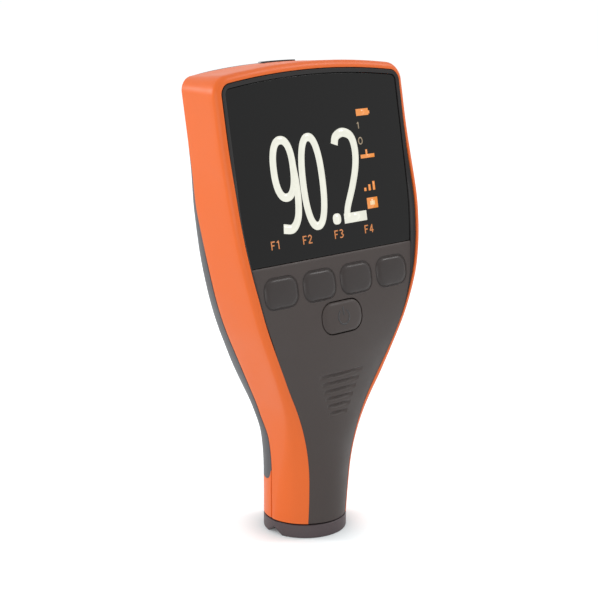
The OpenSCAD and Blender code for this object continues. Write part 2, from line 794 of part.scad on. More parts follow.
module probe_coil() {
    color("#b8733a") translate([0, 0, coil_z]) difference() {
        cylinder(r = coil_r, h = coil_h);
        translate([0, 0, -1]) cylinder(r = core_r + coil_fit, h = coil_h + 2);
    }
}

module probe_tip() {
    color("#d8d9dc") cylinder(r = core_r, h = tip_h);
}

module probe_spring() {
    color(steel) translate([0, 0, sleeve_top + sleeve_travel + 0.3])
        coil(probe_coil_r, probe_coil_r, guide_top - sleeve_top - sleeve_travel - 0.5, probe_wire, 5);
}

module probe_plug() {
    color("#e6e2d6") translate([-plug_w/2, -plug_d/2, guide_top + cap_t + 0.15])
        cube([plug_w, plug_d, plug_h]);
}

front_cover();
mid_case();
neck_collar();
rear_cover();
case_seal();
battery_cover();
usb_flap();
display_lens();
lens_tape();
display_module();
display_flex();
softkey_1();
softkey_2();
softkey_3();
softkey_4();
power_key();
key_mat();
main_board();
board_chips();
buzzer();
usb_socket();
chassis();
case_screws();
battery_tray();
battery_left();
battery_right();
battery_springs();
battery_plates();
probe_foot();
probe_guide();
probe_cap();
probe_sleeve();
probe_core();
probe_coil();
probe_tip();
probe_spring();
probe_plug();
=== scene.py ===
import bmesh
import bpy
import numpy as np
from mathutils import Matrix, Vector


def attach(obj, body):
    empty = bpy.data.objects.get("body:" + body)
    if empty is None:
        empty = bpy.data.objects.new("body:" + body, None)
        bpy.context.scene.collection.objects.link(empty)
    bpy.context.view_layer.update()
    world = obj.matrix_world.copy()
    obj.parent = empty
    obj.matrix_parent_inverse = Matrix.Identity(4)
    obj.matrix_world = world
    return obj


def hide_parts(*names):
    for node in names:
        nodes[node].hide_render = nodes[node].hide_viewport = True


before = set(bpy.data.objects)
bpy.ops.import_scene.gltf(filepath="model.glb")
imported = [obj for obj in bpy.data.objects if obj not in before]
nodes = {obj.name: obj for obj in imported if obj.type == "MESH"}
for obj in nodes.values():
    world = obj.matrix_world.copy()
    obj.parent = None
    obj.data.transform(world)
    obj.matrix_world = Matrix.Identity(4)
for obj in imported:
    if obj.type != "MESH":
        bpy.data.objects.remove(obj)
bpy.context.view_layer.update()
mm = 0.001
print("frame loaded with", len(nodes), "nodes")

# Main sizes in millimetres and degrees, most of them those of the solids
body = {
    "height": 141.0, "headWidth": 73.0, "neckWidth": 25.2, "headHeight": 123.0, "flankTilt": 25.4,
    "hollowRadius": 59.0, "shoulderRadius": 98.5, "cornerRadius": 5.0, "crownRadius": 240.0,
    "wall": 1.8, "seam": 0.25, "rim": 2.0, "rimProud": 1.3, "sideDepth": 16.7, "backY": 18.6,
    "backRound": 14.0, "backStop": 0.97, "backSpare": 0.2, "backMin": 4.5, "backShy": 0.8,
    "faceTilt": 10.5, "faceY": 14.2, "panelAngle": 38.0, "bezel": 1.2, "lens": 1.1,
    "displayHeight": 54.8, "keyDrop": 7.7, "powerDrop": 10.1, "bendTall": 16.5, "neckSlope": -0.155,
    "footSlope": -0.085, "footHeight": 4.1, "footSeam": 0.5, "rearLow": 16.5, "rearIn": 0.2, "rearTopIn": 1.0,
    "neckEdge": 1.25, "gripEdge": 2.6, "neckBackIn": 0.6,
}

height, wall, seam, rim = body["height"], body["wall"], body["seam"], body["rim"]
headR, neckR = body["headWidth"]/2, body["neckWidth"]/2
flareZ = height - body["headHeight"]
displayZ = height - body["displayHeight"]
keyZ = displayZ - body["keyDrop"]
powerZ = keyZ - body["powerDrop"]
seamZ = body["footHeight"] + body["footSeam"]
flank, lean, panelTurn = (np.radians(body[k]) for k in ("flankTilt", "faceTilt", "panelAngle"))
hollowR, shoulderR, cornerR = body["hollowRadius"], body["shoulderRadius"], body["cornerRadius"]
lineX = neckR + hollowR*(1 - np.cos(flank))
lineZ = flareZ + hollowR*np.sin(flank)
flankLength = (headR - lineX - shoulderR*(1 - np.cos(flank)))/np.sin(flank)
shoulderZ = lineZ + flankLength*np.cos(flank) + shoulderR*np.sin(flank)
cornerZ = height - cornerR
faceSlope, neckSlope, footSlope = np.tan(lean), body["neckSlope"], body["footSlope"]
bendTop = powerZ
bendLow = bendTop - body["bendTall"]
bendCurve = (faceSlope - neckSlope)/(2*(bendTop - bendLow))

# Spans over which one form eases into the next: heights above the flare, then depths below the top
flareSpan = {
    "edgeDrop": (36.0, 62.0), "edgeIn": (seamZ - flareZ, 44.0), "edgeRound": (seamZ - flareZ, 31.0),
    "rimRise": (46.0, 72.0), "gripEdge": (11.5, 20.4), "sideDepth": (52.0, 99.0), "backFill": (14.7, 37.7),
    "rearRoll": (0.0, 22.0),
}
topSpan = {"rimFall": (46.4, 17.2), "rearIn": (41.0, 26.0), "backShy": (57.0, 35.0), "crown": (33.0, 0.0)}


def ease(low, high, v):  # smooth step from 0 at low to 1 at high
    t = np.clip((np.asarray(v, float) - low)/(high - low), 0, 1)
    return t*t*(3 - 2*t)


def mix(a, b, t):
    return a + (b - a)*t


def turnRadius(n):  # radius of the top corner, set in by n
    return np.maximum(cornerR - n, 0.5)


def halfWidth(z, n):
    # front outline set in by n: neck, hollow arc, straight flank, shoulder arc, upright side, corner
    z, n = np.broadcast_arrays(np.asarray(z, float), np.asarray(n, float))
    hollow = neckR + hollowR - np.sqrt(np.maximum((hollowR + n)**2 - (z - flareZ)**2, 0))
    straight = lineX + (z - lineZ)*np.tan(flank) - n/np.cos(flank)
    shoulder = headR - shoulderR + np.sqrt(np.maximum((shoulderR - n)**2 - (shoulderZ - z)**2, 0))
    turnR, turnZ = turnRadius(n), height - n - turnRadius(n)
    corner = headR - n - turnR + np.sqrt(np.maximum(turnR**2 - (z - turnZ)**2, 0))
    ends = [flareZ, flareZ + (hollowR + n)*np.sin(flank), shoulderZ - (shoulderR - n)*np.sin(flank),
            shoulderZ, turnZ]
    return np.select([z <= end for end in ends], [neckR - n, hollow, straight, shoulder, headR - n], corner)


def faceLine(z):  # leaning plane of the keys and the glass
    return -body["faceY"] + faceSlope*(z - keyZ)


def bendY(z):  # leaning face, with a parabola where it bends into the neck
    return faceLine(z) + bendCurve*np.maximum(bendTop - z, 0)**2


def frontY(z):  # front on the centre line: upright neck, cubic blend, then the bend and the face
    z = np.asarray(z, float)
    tall = bendLow - seamZ
    t = np.clip((z - seamZ)/tall, 0, 1)
    low = mix(-neckR, bendY(bendLow), t*t*(3 - 2*t)) + t*(t - 1)*tall*(t*neckSlope + (t - 1)*footSlope)
    return np.where(z >= bendLow, bendY(z), low)


def aboveFlare(name, z):  # eases from 0 to 1 over a span of heights above the flare
    low, high = flareSpan[name]
    return ease(flareZ + low, flareZ + high, z)


def belowTop(name, z):  # the same over a span of depths below the top
    low, high = topSpan[name]
    return ease(height - low, height - high, z)


def edgeDrop(z):  # how far the panel falls back from its middle to its edge
    return neckR*(1 - np.cos(panelTurn))*(1 - aboveFlare("edgeDrop", z))


def edgeIn(z):  # how far the panel's edge stands in from the outline
    return mix(neckR*(1 - np.sin(panelTurn)), rim, aboveFlare("edgeIn", z))


def edgeRound(z):  # radius of the orange rim: the whole neck at the foot, the rim's width at the head
    return mix(neckR, rim, aboveFlare("edgeRound", z))


def rimOut(z):  # the orange rim stands out in front of the panel beside the display
    return body["rimProud"]*aboveFlare("rimRise", z)*(1 - belowTop("rimFall", z))


def rearEdgeY(z):  # line where the orange side ends at the back
    grip = mix(body["neckEdge"], body["gripEdge"], aboveFlare("gripEdge", z))
    return mix(grip, faceLine(z) + body["sideDepth"], aboveFlare("sideDepth", z))


def rearIn(z):  # the orange draws in towards its rear edge, more so at the top
    return body["rearIn"] + body["rearTopIn"]*belowTop("rearIn", z)


def backIn(z):  # the back shell stands in from the orange towards the top
    return rearIn(z) + body["backShy"]*belowTop("backShy", z)


def backRise(z):  # depth of the back shell: full over the cells, rounded off to the top
    t = np.clip((z - height + body["backRound"])/body["backRound"], 0, body["backStop"])
    line = mix(neckR - body["neckBackIn"], body["backY"], aboveFlare("backFill", z))
    line = np.maximum(line, rearEdgeY(z) + body["backMin"])
    return np.maximum((line - rearEdgeY(z))*np.sqrt(1 - t*t), wall + body["backSpare"])


def crownZ(x, z):  # the top edge sinks with the square of the distance from the middle
    return z - x*x/(2*body["crownRadius"])*belowTop("crown", z)


def panelY(x, z):  # the panel falls back with the square of the distance from the middle
    width = halfWidth(z, edgeIn(z) + seam)
    return frontY(z) + edgeDrop(z)*(x/width)**2


def panelEdgeY(z):  # front of the panel along its edge
    return frontY(z) + edgeDrop(z)


def rowsThrough(*marks):  # levels from mark to mark, given the rows between two marks; the last is left out
    spans = zip(marks[::2], marks[1::2], marks[2::2])
    return np.concatenate([np.linspace(low, high, count, endpoint=False) for low, count, high in spans])


def outlinePath(sideZ, turns, tops):  # heights up one side, turn round the corner, run to the middle
    return {"sideZ": sideZ, "turn": np.linspace(0, np.pi/2, turns, endpoint=False),
            "topX": np.linspace(headR - cornerR, 0, tops)}


def pathLength(path):
    return sum(len(v) for v in path.values())


def place(path, n):
    # points along the outline, each set in by n, which holds one row for each place on the path
    a, t = len(path["sideZ"]), len(path["sideZ"]) + len(path["turn"])
    sideZ, turn, topX = (path[k][:, None] for k in ("sideZ", "turn", "topX"))
    cornerX = headR - cornerR + (cornerR - n[a:t])*np.cos(turn)
    x = np.vstack([halfWidth(sideZ, n[:a]), cornerX, topX + 0*n[t:]])
    z = np.vstack([sideZ + 0*n[:a], cornerZ + (cornerR - n[a:t])*np.sin(turn), height - n[t:]])
    return x, crownZ(x, z)


def bothSides(points):  # the half path mirrored across the middle of the top
    return np.concatenate([points, points[-2::-1]*np.array([-1, 1, 1])])


def facePoint(x, v, out):  # place on the leaning face: x across, v up from the soft keys, out of the face
    return np.stack([x, -body["faceY"] + v*np.sin(lean) - out*np.cos(lean),
                     keyZ + v*np.cos(lean) + out*np.sin(lean)], -1)


def addObject(name, data):
    added = bpy.data.objects.new(name, data)
    bpy.context.scene.collection.objects.link(added)
    return added


def gridFaces(rows, cols, wrap, keep, base):  # quads between rows and columns, as point numbers from base on
    index = base + np.arange(rows*cols).reshape(rows, cols)
    left = index if wrap else index[:, :-1]
    right = np.roll(index, -1, 1) if wrap else index[:, 1:]
    quads = np.stack([left[:-1], right[:-1], right[1:], left[1:]], -1)
    return quads.reshape(-1, 4) if keep is None else quads[keep]


def makePiece(name, patches, material, rider, caps=(), bevel=0.0, sharp=30, solid=True):
    # each patch is a grid of points, or (grid, wraps round, quads to keep); shared edges are merged
    points, faces, base = [], [], 0
    for patch in patches:
        grid, wrap, keep = patch if isinstance(patch, tuple) else (patch, False, None)
        faces += gridFaces(*grid.shape[:2], wrap, keep, base).tolist()
        points.append(grid.reshape(-1, 3))
        base += grid.shape[0]*grid.shape[1]
    for cap in caps:
        faces.append(list(range(base, base + len(cap))))
        points.append(cap)
        base += len(cap)
    mesh = bpy.data.meshes.new(name)
    mesh.from_pydata((np.vstack(points)*mm).tolist(), [], faces)
    work = bmesh.new()
    work.from_mesh(mesh)
    bmesh.ops.remove_doubles(work, verts=work.verts, dist=2e-6)
    bmesh.ops.dissolve_degenerate(work, edges=work.edges, dist=1e-7)
    if solid:
        bmesh.ops.recalc_face_normals(work, faces=work.faces)
    work.to_mesh(mesh)
    work.free()
    mesh.polygons.foreach_set("use_smooth", np.ones(len(mesh.polygons), bool))
    mesh.set_sharp_from_angle(angle=np.radians(sharp))
    mesh.materials.append(material)
    piece = addObject(name, mesh)
    if bevel:
        soften(piece, bevel, sharp)
    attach(piece, rider)
    return piece


def soften(piece, width, sharp):  # small moulded radius on every sharp edge
    edge = piece.modifiers.new("mouldRadius", "BEVEL")
    edge.width = width*mm
    edge.segments = 3
    edge.limit_method = "ANGLE"
    edge.angle_limit = np.radians(sharp)
    edge.harden_normals = True
    edge.use_clamp_overlap = True


def cutAway(piece, cutter):  # takes the cutter's volume out of the piece, for good
    cut = piece.modifiers.new("cut", "BOOLEAN")
    cut.operation, cut.object, cut.solver = "DIFFERENCE", cutter, "EXACT"
    bpy.context.view_layer.update()
    done = bpy.data.meshes.new_from_object(piece.evaluated_get(bpy.context.evaluated_depsgraph_get()))
    piece.modifiers.remove(cut)
    piece.data = done
    bpy.data.objects.remove(cutter)


def boxCutter(low, high):
    (x0, y0, z0), (x1, y1, z1) = low, high
    corner = np.array([[x, y, z] for z in (z0, z1) for x, y in ((x0, y0), (x1, y0), (x1, y1), (x0, y1))])
    mesh = bpy.data.meshes.new("cutter")
    sides = [[0, 1, 5, 4], [1, 2, 6, 5], [2, 3, 7, 6], [3, 0, 4, 7]]
    mesh.from_pydata((corner*mm).tolist(), [], [[3, 2, 1, 0], [4, 5, 6, 7], *sides])
    return addObject("cutter", mesh)


def border(grid, r0, r1, c0, c1):  # the loop of points round a block of a grid
    return np.vstack([grid[r0, c0:c1], grid[r0:r1, c1], grid[r1, c1:c0:-1], grid[r1:r0:-1, c0]])


def rayFan(half, around=96):  # rays from the middle to an ellipse of the half size
    turn = np.linspace(0, 2*np.pi, around, endpoint=False)
    return np.stack([np.cos(turn), np.sin(turn)], -1)*half


def roundedLoop(rays, half, radius):
    # where rays from the middle cross a rounded rectangle, found by halving the reach 40 times
    low, high = np.zeros(len(rays)), np.full(len(rays), 4.0)
    for _ in range(40):
        middle = (low + high)/2
        q = np.abs(rays*middle[:, None]) - (np.asarray(half) - radius)
        inside = np.hypot(*np.maximum(q, 0).T) + np.minimum(q.max(1), 0) < radius
        low, high = np.where(inside, middle, low), np.where(inside, high, middle)
    return rays*low[:, None]


def keepOutside(grid, blocks):  # marks the quads of a grid that lie in none of the blocks
    keep = np.ones((grid.shape[0] - 1, grid.shape[1] - 1), bool)
    for r0, r1, c0, c1 in blocks:
        keep[r0:r1, c0:c1] = False
    return keep


def holeRings(flat, block, hole, lip, shares):
    # rings from a block's border to a lip round the hole, shares 0 to 1, then on to its edge, shares 1 to 2
    x, z, half, corner = hole
    loop = border(flat, *block)
    rays = loop - (x, z)
    ring, edge = ((x, z) + roundedLoop(rays, half + out, corner + out) for out in (lip, 0))
    return np.stack([mix(loop, ring, s) if s <= 1 else mix(ring, edge, s - 1) for s in shares])


def holeWalls(front, rear):  # the face round a hole, the same at the back, and the wall between them
    return [(front, True, None), (rear, True, None), (np.stack([front[-1], rear[-1]]), True, None)]


def closeEdges(outer, inner):  # strips that join two sheets along their four edges
    return ([np.stack([outer[i], inner[i]]) for i in (0, -1)]
            + [np.stack([outer[:, i], inner[:, i]]) for i in (0, -1)])


# Materials

def newGroup(name, inputs, outputs):
    group = bpy.data.node_groups.new(name, "ShaderNodeTree")
    for label, value in inputs.items():
        socket = group.interface.new_socket(label, in_out="INPUT", socket_type="NodeSocketFloat")
        socket.default_value = value
    for label in outputs:
        group.interface.new_socket(label, in_out="OUTPUT", socket_type="NodeSocketFloat")
    return group, group.nodes.new("NodeGroupInput"), group.nodes.new("NodeGroupOutput")


def addNode(tree, kind, sockets=None, **settings):
    node = tree.nodes.new(kind)
    for key, value in settings.items():
        setattr(node, key, value)
    for key, value in (sockets or {}).items():
        target = node.inputs[key]
        if isinstance(value, bpy.types.NodeSocket):
            tree.links.new(value, target)
        else:
            target.default_value = value
    return node


def calc(tree, operation, a, b, clamp=False):
    return addNode(tree, "ShaderNodeMath", {0: a, 1: b}, operation=operation, use_clamp=clamp).outputs[0]


def makeGrain():
    # moulded grain: fine pits, a broader mottle, and a slow drift of tone and gloss over the whole part
    group, given, out = newGroup("mouldedGrain", {"Pitch": 2600.0, "Mottle": 0.08, "Gloss": 0.5},
                                 ["Tone", "Roughness", "Height"])
    place = addNode(group, "ShaderNodeTexCoord").outputs["Object"]
    pits = addNode(group, "ShaderNodeTexVoronoi", {"Vector": place, "Scale": given.outputs["Pitch"]},
                   feature="SMOOTH_F1")
    fine = addNode(group, "ShaderNodeTexNoise",
                   {"Vector": place, "Scale": given.outputs["Pitch"], "Detail": 3.0})
    broad = addNode(group, "ShaderNodeTexNoise",
                    {"Vector": place, "Scale": 90.0, "Detail": 4.0, "Roughness": 0.6})
    level = calc(group, "ADD", calc(group, "MULTIPLY", pits.outputs["Distance"], 0.6),
                 calc(group, "MULTIPLY", fine.outputs["Fac"], 0.5))
    group.links.new(level, out.inputs["Height"])
    fineOff, broadOff = (calc(group, "SUBTRACT", noise.outputs["Fac"], 0.5) for noise in (fine, broad))
    speck, drift = (calc(group, "MULTIPLY", off, given.outputs["Mottle"]) for off in (fineOff, broadOff))
    group.links.new(calc(group, "ADD", calc(group, "ADD", speck, drift), 1.0), out.inputs["Tone"])
    shine = calc(group, "MULTIPLY", broadOff, 0.22)
    group.links.new(calc(group, "ADD", shine, given.outputs["Gloss"], clamp=True), out.inputs["Roughness"])
    return group


def makeHandling():
    # handled patches: soft smears that polish a surface where fingers rest
    group, given, out = newGroup("handlingPolish", {"Amount": 0.1, "Scale": 45.0}, ["Polish"])
    place = addNode(group, "ShaderNodeTexCoord").outputs["Object"]
    smear = addNode(group, "ShaderNodeTexNoise",
                    {"Vector": place, "Scale": given.outputs["Scale"], "Detail": 5.0, "Distortion": 1.6})
    patch = addNode(group, "ShaderNodeMapRange",
                    {"Value": smear.outputs["Fac"], "From Min": 0.48, "From Max": 0.72})
    group.links.new(calc(group, "MULTIPLY", patch.outputs[0], given.outputs["Amount"]), out.inputs["Polish"])
    return group


grain, handling = makeGrain(), makeHandling()


def moulded(name, colour, gloss, pitch=2600.0, mottle=0.1, bump=0.05, polish=0.08, metal=0.0, specular=0.5):
    material = bpy.data.materials.new(name)
    material.use_nodes = True
    tree = material.node_tree
    shader = tree.nodes["Principled BSDF"]
    skin = addNode(tree, "ShaderNodeGroup", node_tree=grain)
    for key, value in (("Pitch", pitch), ("Mottle", mottle), ("Gloss", gloss)):
        skin.inputs[key].default_value = value
    touch = addNode(tree, "ShaderNodeGroup", node_tree=handling)
    touch.inputs["Amount"].default_value = polish
    tone = addNode(tree, "ShaderNodeVectorMath", {0: colour, "Scale": skin.outputs["Tone"]},
                   operation="SCALE")
    tree.links.new(tone.outputs[0], shader.inputs["Base Color"])
    tree.links.new(calc(tree, "SUBTRACT", skin.outputs["Roughness"], touch.outputs["Polish"], clamp=True),
                   shader.inputs["Roughness"])
    relief = addNode(tree, "ShaderNodeBump",
                     {"Strength": bump, "Distance": 0.1*mm, "Height": skin.outputs["Height"]})
    tree.links.new(relief.outputs[0], shader.inputs["Normal"])
    shader.inputs["Metallic"].default_value = metal
    shader.inputs["Specular IOR Level"].default_value = specular
    return material


def lit(name, colour, strength):  # lit display element: glows through the same glossy window
    material = moulded(name, (0.02, 0.02, 0.02), gloss=0.12, mottle=0.05, bump=0.0, polish=0.0)
    tree = material.node_tree
    shader = tree.nodes["Principled BSDF"]
    place = addNode(tree, "ShaderNodeTexCoord").outputs["Object"]
    cells = addNode(tree, "ShaderNodeTexNoise", {"Vector": place, "Scale": 420.0, "Detail": 2.0})
    level = addNode(tree, "ShaderNodeMapRange",
                    {"Value": cells.outputs["Fac"], "To Min": 0.9, "To Max": 1.06})
    glow = addNode(tree, "ShaderNodeVectorMath", {0: colour, "Scale": level.outputs[0]}, operation="SCALE")
    tree.links.new(glow.outputs[0], shader.inputs["Emission Color"])
    shader.inputs["Emission Strength"].default_value = strength
    return material


finish = {
    "orange": moulded("orangeShell", (0.8, 0.146, 0.0245), gloss=0.41, mottle=0.03, bump=0.03, polish=0.02,
                      specular=0.27),
    "front": moulded("frontGrey", (0.057, 0.0445, 0.041), gloss=0.52, mottle=0.16, bump=0.1, specular=0.3),
    "edge": moulded("edgeBlack", (0.018, 0.016, 0.016), gloss=0.42, bump=0.06, specular=0.25),
    "rear": moulded("rearGrey", (0.066, 0.064, 0.069), gloss=0.5, mottle=0.14, bump=0.16, pitch=1900.0,
                    specular=0.45),
    "key": moulded("keyRubber", (0.031, 0.0235, 0.022), gloss=0.4, mottle=0.12, specular=0.36),
    "foot": moulded("footGrey", (0.082, 0.062, 0.066), gloss=0.5, mottle=0.14, bump=0.08, specular=0.3),
    "lens": moulded("lensBlack", (0.0015, 0.0016, 0.0017), gloss=0.06, mottle=0.3, bump=0.0, polish=0.03,
                    specular=0.26),
    "flap": moulded("flapRubber", (0.06, 0.055, 0.057), gloss=0.65, mottle=0.12, bump=0.08),
    "seal": moulded("sealRubber", (0.02, 0.02, 0.021), gloss=0.7),
    "mark": moulded("keyMark", (0.03, 0.027, 0.028), gloss=0.5, bump=0.0),
    "inner": moulded("innerPlastic", (0.035, 0.037, 0.04), gloss=0.5, bump=0.1),
    "board": moulded("boardGreen", (0.02, 0.13, 0.055), gloss=0.3),
    "chip": moulded("chipBlack", (0.02, 0.021, 0.022), gloss=0.45, bump=0.08),
    "mat": moulded("matRubber", (0.28, 0.29, 0.3), gloss=0.6, bump=0.08),
    "film": moulded("amberFilm", (0.55, 0.26, 0.06), gloss=0.3, bump=0.02),
    "steel": moulded("turnedSteel", (0.56, 0.57, 0.58), gloss=0.3, metal=1.0, mottle=0.12, bump=0.04),
    "screw": moulded("screwSteel", (0.3, 0.3, 0.31), gloss=0.36, metal=1.0, mottle=0.15),
    "core": moulded("coreIron", (0.2, 0.2, 0.21), gloss=0.4, metal=1.0),
    "copper": moulded("coilCopper", (0.55, 0.24, 0.1), gloss=0.3, metal=1.0, bump=0.1, pitch=4000.0),
    "tip": moulded("tipSteel", (0.78, 0.78, 0.8), gloss=0.12, metal=1.0, mottle=0.04, bump=0.0),
    "cell": moulded("cellWrap", (0.42, 0.33, 0.2), gloss=0.25, metal=0.6, mottle=0.08, bump=0.02),
    "white": moulded("plugWhite", (0.72, 0.69, 0.62), gloss=0.45, bump=0.04),
    "digit": lit("litDigits", (0.92, 0.92, 0.8), 0.9),
    "amber": lit("litAmber", (1.0, 0.33, 0.05), 0.86),
    "label": lit("litLabel", (0.95, 0.32, 0.07), 0.62),
    "pale": lit("litPale", (1.0, 0.72, 0.4), 0.9),
    "dim": lit("litDim", (0.4, 0.3, 0.18), 0.7),
}
print("materials made:", len(finish))


# Orange frame: a section carried up one side, over the top and down the other, cut out for the flap

flapShape = {  # kept here because the frame is cut out round the flap
    "width": 13.0, "depth": 7.0, "thick": 2.6, "proud": 0.4, "flush": 0.02, "corner": 1.0, "round": 0.34,
    "strip": 1.7, "step": 0.1, "inlay": 0.8, "inlayLap": 0.3, "lip": 0.2, "lipCorner": 0.4, "root": 0.47,
    "rootShort": 1.2, "rootCorner": 0.3, "rootLap": 0.2, "rootGap": 0.03, "lipGap": 0.04,
    "backY": float(rearEdgeY(height)) - 1.1,
}
frameShape = {"rearRoll": 0.3, "neckRoll": 0.12, "edge": 0.2, "sharp": 40, "flapRoom": 0.35, "cutLow": 4.4,
              "cutHigh": 4.0}


def makeOrangeFrame():
    path = outlinePath(rowsThrough(seamZ, 11, flareZ, 63, shoulderZ, 19, cornerZ), 14, 20)
    z0 = place(path, np.zeros((pathLength(path), 1)))[1]
    inset, radius, rear = edgeIn(z0), edgeRound(z0), rearIn(z0)
    start = np.arcsin(1 - inset/radius)
    innerZ = place(path, inset)[1]
    sideY = panelEdgeY(innerZ) - rimOut(innerZ) + radius*np.cos(start)
    rearY = rearEdgeY(place(path, rear)[1])
    turn = mix(start, np.pi/2, np.linspace(0, 1, 13)[None])
    run, roll = np.linspace(0, 1, 9)[None, 1:], np.linspace(0, np.pi/2, 7)[None, 1:]
    rolled = mix(frameShape["neckRoll"], frameShape["rearRoll"], aboveFlare("rearRoll", z0))
    skins = []
    for off, r in ((0.0, rolled), (wall, 0*rolled)):  # outer skin, then the same line set in by the wall
        bow = radius - off
        n = np.hstack([off + bow*(1 - np.sin(turn)), off + rear*run, off + rear + r*(1 - np.cos(roll))])
        y = np.hstack([sideY - bow*np.cos(turn), mix(sideY, rearY - r, run),
                       rearY - r + np.maximum(r, 0.01)*np.sin(roll)])
        x, z = place(path, n)
        skins.append(bothSides(np.stack([x, y, z], -1)))
    sharp = frameShape["sharp"]
    piece = makePiece("orange_frame", [*skins, *closeEdges(*skins)], finish["orange"], "housing", sharp=sharp)
    room, back = frameShape["flapRoom"], flapShape["backY"]
    halfRoom = flapShape["width"]/2 + room
    cutAway(piece, boxCutter((-halfRoom, back - flapShape["depth"] - room, height - frameShape["cutLow"]),
                             (halfRoom, back + room, height + frameShape["cutHigh"])))
    soften(piece, frameShape["edge"], sharp)
    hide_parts("mid_case")


makeOrangeFrame()
print("orange frame done")


# Front panel: leaning face with key openings, rounded upper edge and grip grooves

keyShape = {
    "pitch": 14.6, "width": 12.2, "height": 8.6, "corner": 3.2, "gap": 0.3, "proud": 0.5, "dome": 0.2,
    "web": 0.26, "webDepth": 0.19, "valley": 0.15, "skirt": 2.4, "flat": 0.78, "fall": 2.2,
    "powerWidth": 15.6, "powerHeight": 9.2, "powerCorner": 4.0, "powerShy": 0.08, "powerWeb": 0.1,
    "powerWebDepth": 0.5,
}
grooves = {"count": 6, "topZ": powerZ - 17.2, "pitch": 2.43, "width": 16.8, "taper": 0.115, "tall": 1.95,
           "depth": 0.75}
panel = {"thick": 1.8, "edgeTall": 0.9, "edgeDeep": 0.4, "lip": 0.3, "edge": 0.14, "sharp": 24,
         "grip": (36.0, 53.4), "leanSpan": (50.0, 62.0), "keySpan": (52.0, 62.0), "keyRoom": 4.9,
         "powerRoom": 5.5, "splitUp": 0.18}
trim = {"wide": 1.2, "low": 64.0, "full": 92.0, "lead": 2.0, "open": 6.0, "under": 0.25, "deep": 1.3,
        "gap": 0.04, "neckSeam": 0.08, "least": 0.12, "leastTall": 9.0}


def trimWidth(z):  # the dark edge starts below the keys and widens up to the display
    return trim["wide"]*ease(trim["low"] - trim["lead"], trim["full"], z)


def panelInset(z):
    opened = ease(trim["low"] - trim["open"], trim["low"], z)
    return edgeIn(z) + mix(trim["neckSeam"], seam + trim["gap"], opened) + trimWidth(z)


def panelPoint(x, z, depth):  # point of the panel, sunk by depth: level on the neck, square to the face above
    x, z, depth = np.broadcast_arrays(np.asarray(x, float), np.asarray(z, float), np.asarray(depth, float))
    turn = lean*ease(*panel["leanSpan"], z)
    return np.stack([x, panelY(x, z) + depth*np.cos(turn), z - depth*np.sin(turn)], -1)


def panelCarving(x, z):
    # grip scoops: cosine-squared troughs that run out in half ellipses
    # upper edge: falls away in a quarter ellipse
    i = np.arange(grooves["count"])
    middle = grooves["topZ"] - i*grooves["pitch"]
    half = grooves["width"]*(1 - grooves["taper"]*i)/2
    off = np.clip((z[..., None] - middle)/grooves["tall"], -0.5, 0.5)
    ends = np.sqrt(np.clip(1 - (x[..., None]/half)**2, 0, 1))
    near = np.clip((z - displayZ + panel["edgeTall"])/panel["edgeTall"], 0, 1)
    return (grooves["depth"]*(np.cos(np.pi*off)**2*ends).sum(-1)
            + panel["edgeDeep"]*(1 - np.sqrt(1 - near**2)))


def keyHoles():  # middle x, middle z, half size, corner radius of each opening in the front view
    gap = keyShape["gap"]
    soft, power = (np.array([keyShape[w]/2 + gap, (keyShape[h]/2 + gap)*np.cos(lean)])
                   for w, h in (("width", "height"), ("powerWidth", "powerHeight")))
    rows = [((k - 1.5)*keyShape["pitch"], keyZ, soft, keyShape["corner"] + gap) for k in range(4)]
    return rows + [(0.0, powerZ, power, keyShape["powerCorner"] + gap)]


def panelRows():  # levels of the panel's grid, and the rows that bound the key openings
    low, high = powerZ - panel["powerRoom"], keyZ + panel["keyRoom"]
    middle = (keyZ + powerZ)/2 + panel["splitUp"]
    edge = displayZ - panel["edgeTall"]
    gripLow, gripHigh = panel["grip"]
    levels = rowsThrough(seamZ, 27, gripLow, 139, gripHigh, 9, low, 14, middle, 14, high, 3, edge)
    rows = np.concatenate([levels, edge + panel["edgeTall"]*np.sin(np.linspace(0, np.pi/2, 7))])
    return rows, [int(np.argmin(abs(rows - v))) for v in (low, middle, high)]


def makeFrontCover():
    rows, (lowRow, middleRow, highRow) = panelRows()
    u = np.linspace(-2, 2, 73)
    z = np.repeat(rows[:, None], len(u), 1)
    edge = halfWidth(rows, panelInset(rows))[:, None]
    inner = mix(edge/2, keyShape["pitch"], ease(*panel["keySpan"], rows)[:, None])
    x = np.sign(u)*np.where(abs(u) <= 1, abs(u)*inner, inner + (abs(u) - 1)*(edge - inner))
    step = (len(u) - 1)//4
    blocks = [(middleRow, highRow, step*k, step*(k + 1)) for k in range(4)]
    blocks.append((lowRow, middleRow, step, 3*step))
    keep = keepOutside(x, blocks)
    flat, thick = np.stack([x, z], -1), panel["thick"]
    face, back = panelPoint(x, z, panelCarving(x, z)), panelPoint(x, z, thick)
    patches = [(face, False, keep), (back, False, keep), *closeEdges(face, back)]
    fall = keyShape["valley"]*np.array([[0], [0], [0], [0.1], [0.42], [1]])  # valley round the soft keys
    for block, hole in zip(blocks, keyHoles()):
        rings = holeRings(flat, block, hole, panel["lip"], (0, 0.6, 1, 1.35, 1.7, 2))
        front = panelPoint(rings[..., 0], rings[..., 1], fall*(hole[1] > powerZ))
        patches += holeWalls(front, panelPoint(rings[[0, -1], :, 0], rings[[0, -1], :, 1], thick))
    piece = makePiece("front_shell", patches, finish["front"], "housing", bevel=panel["edge"],
                      sharp=panel["sharp"])
    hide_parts("front_cover")


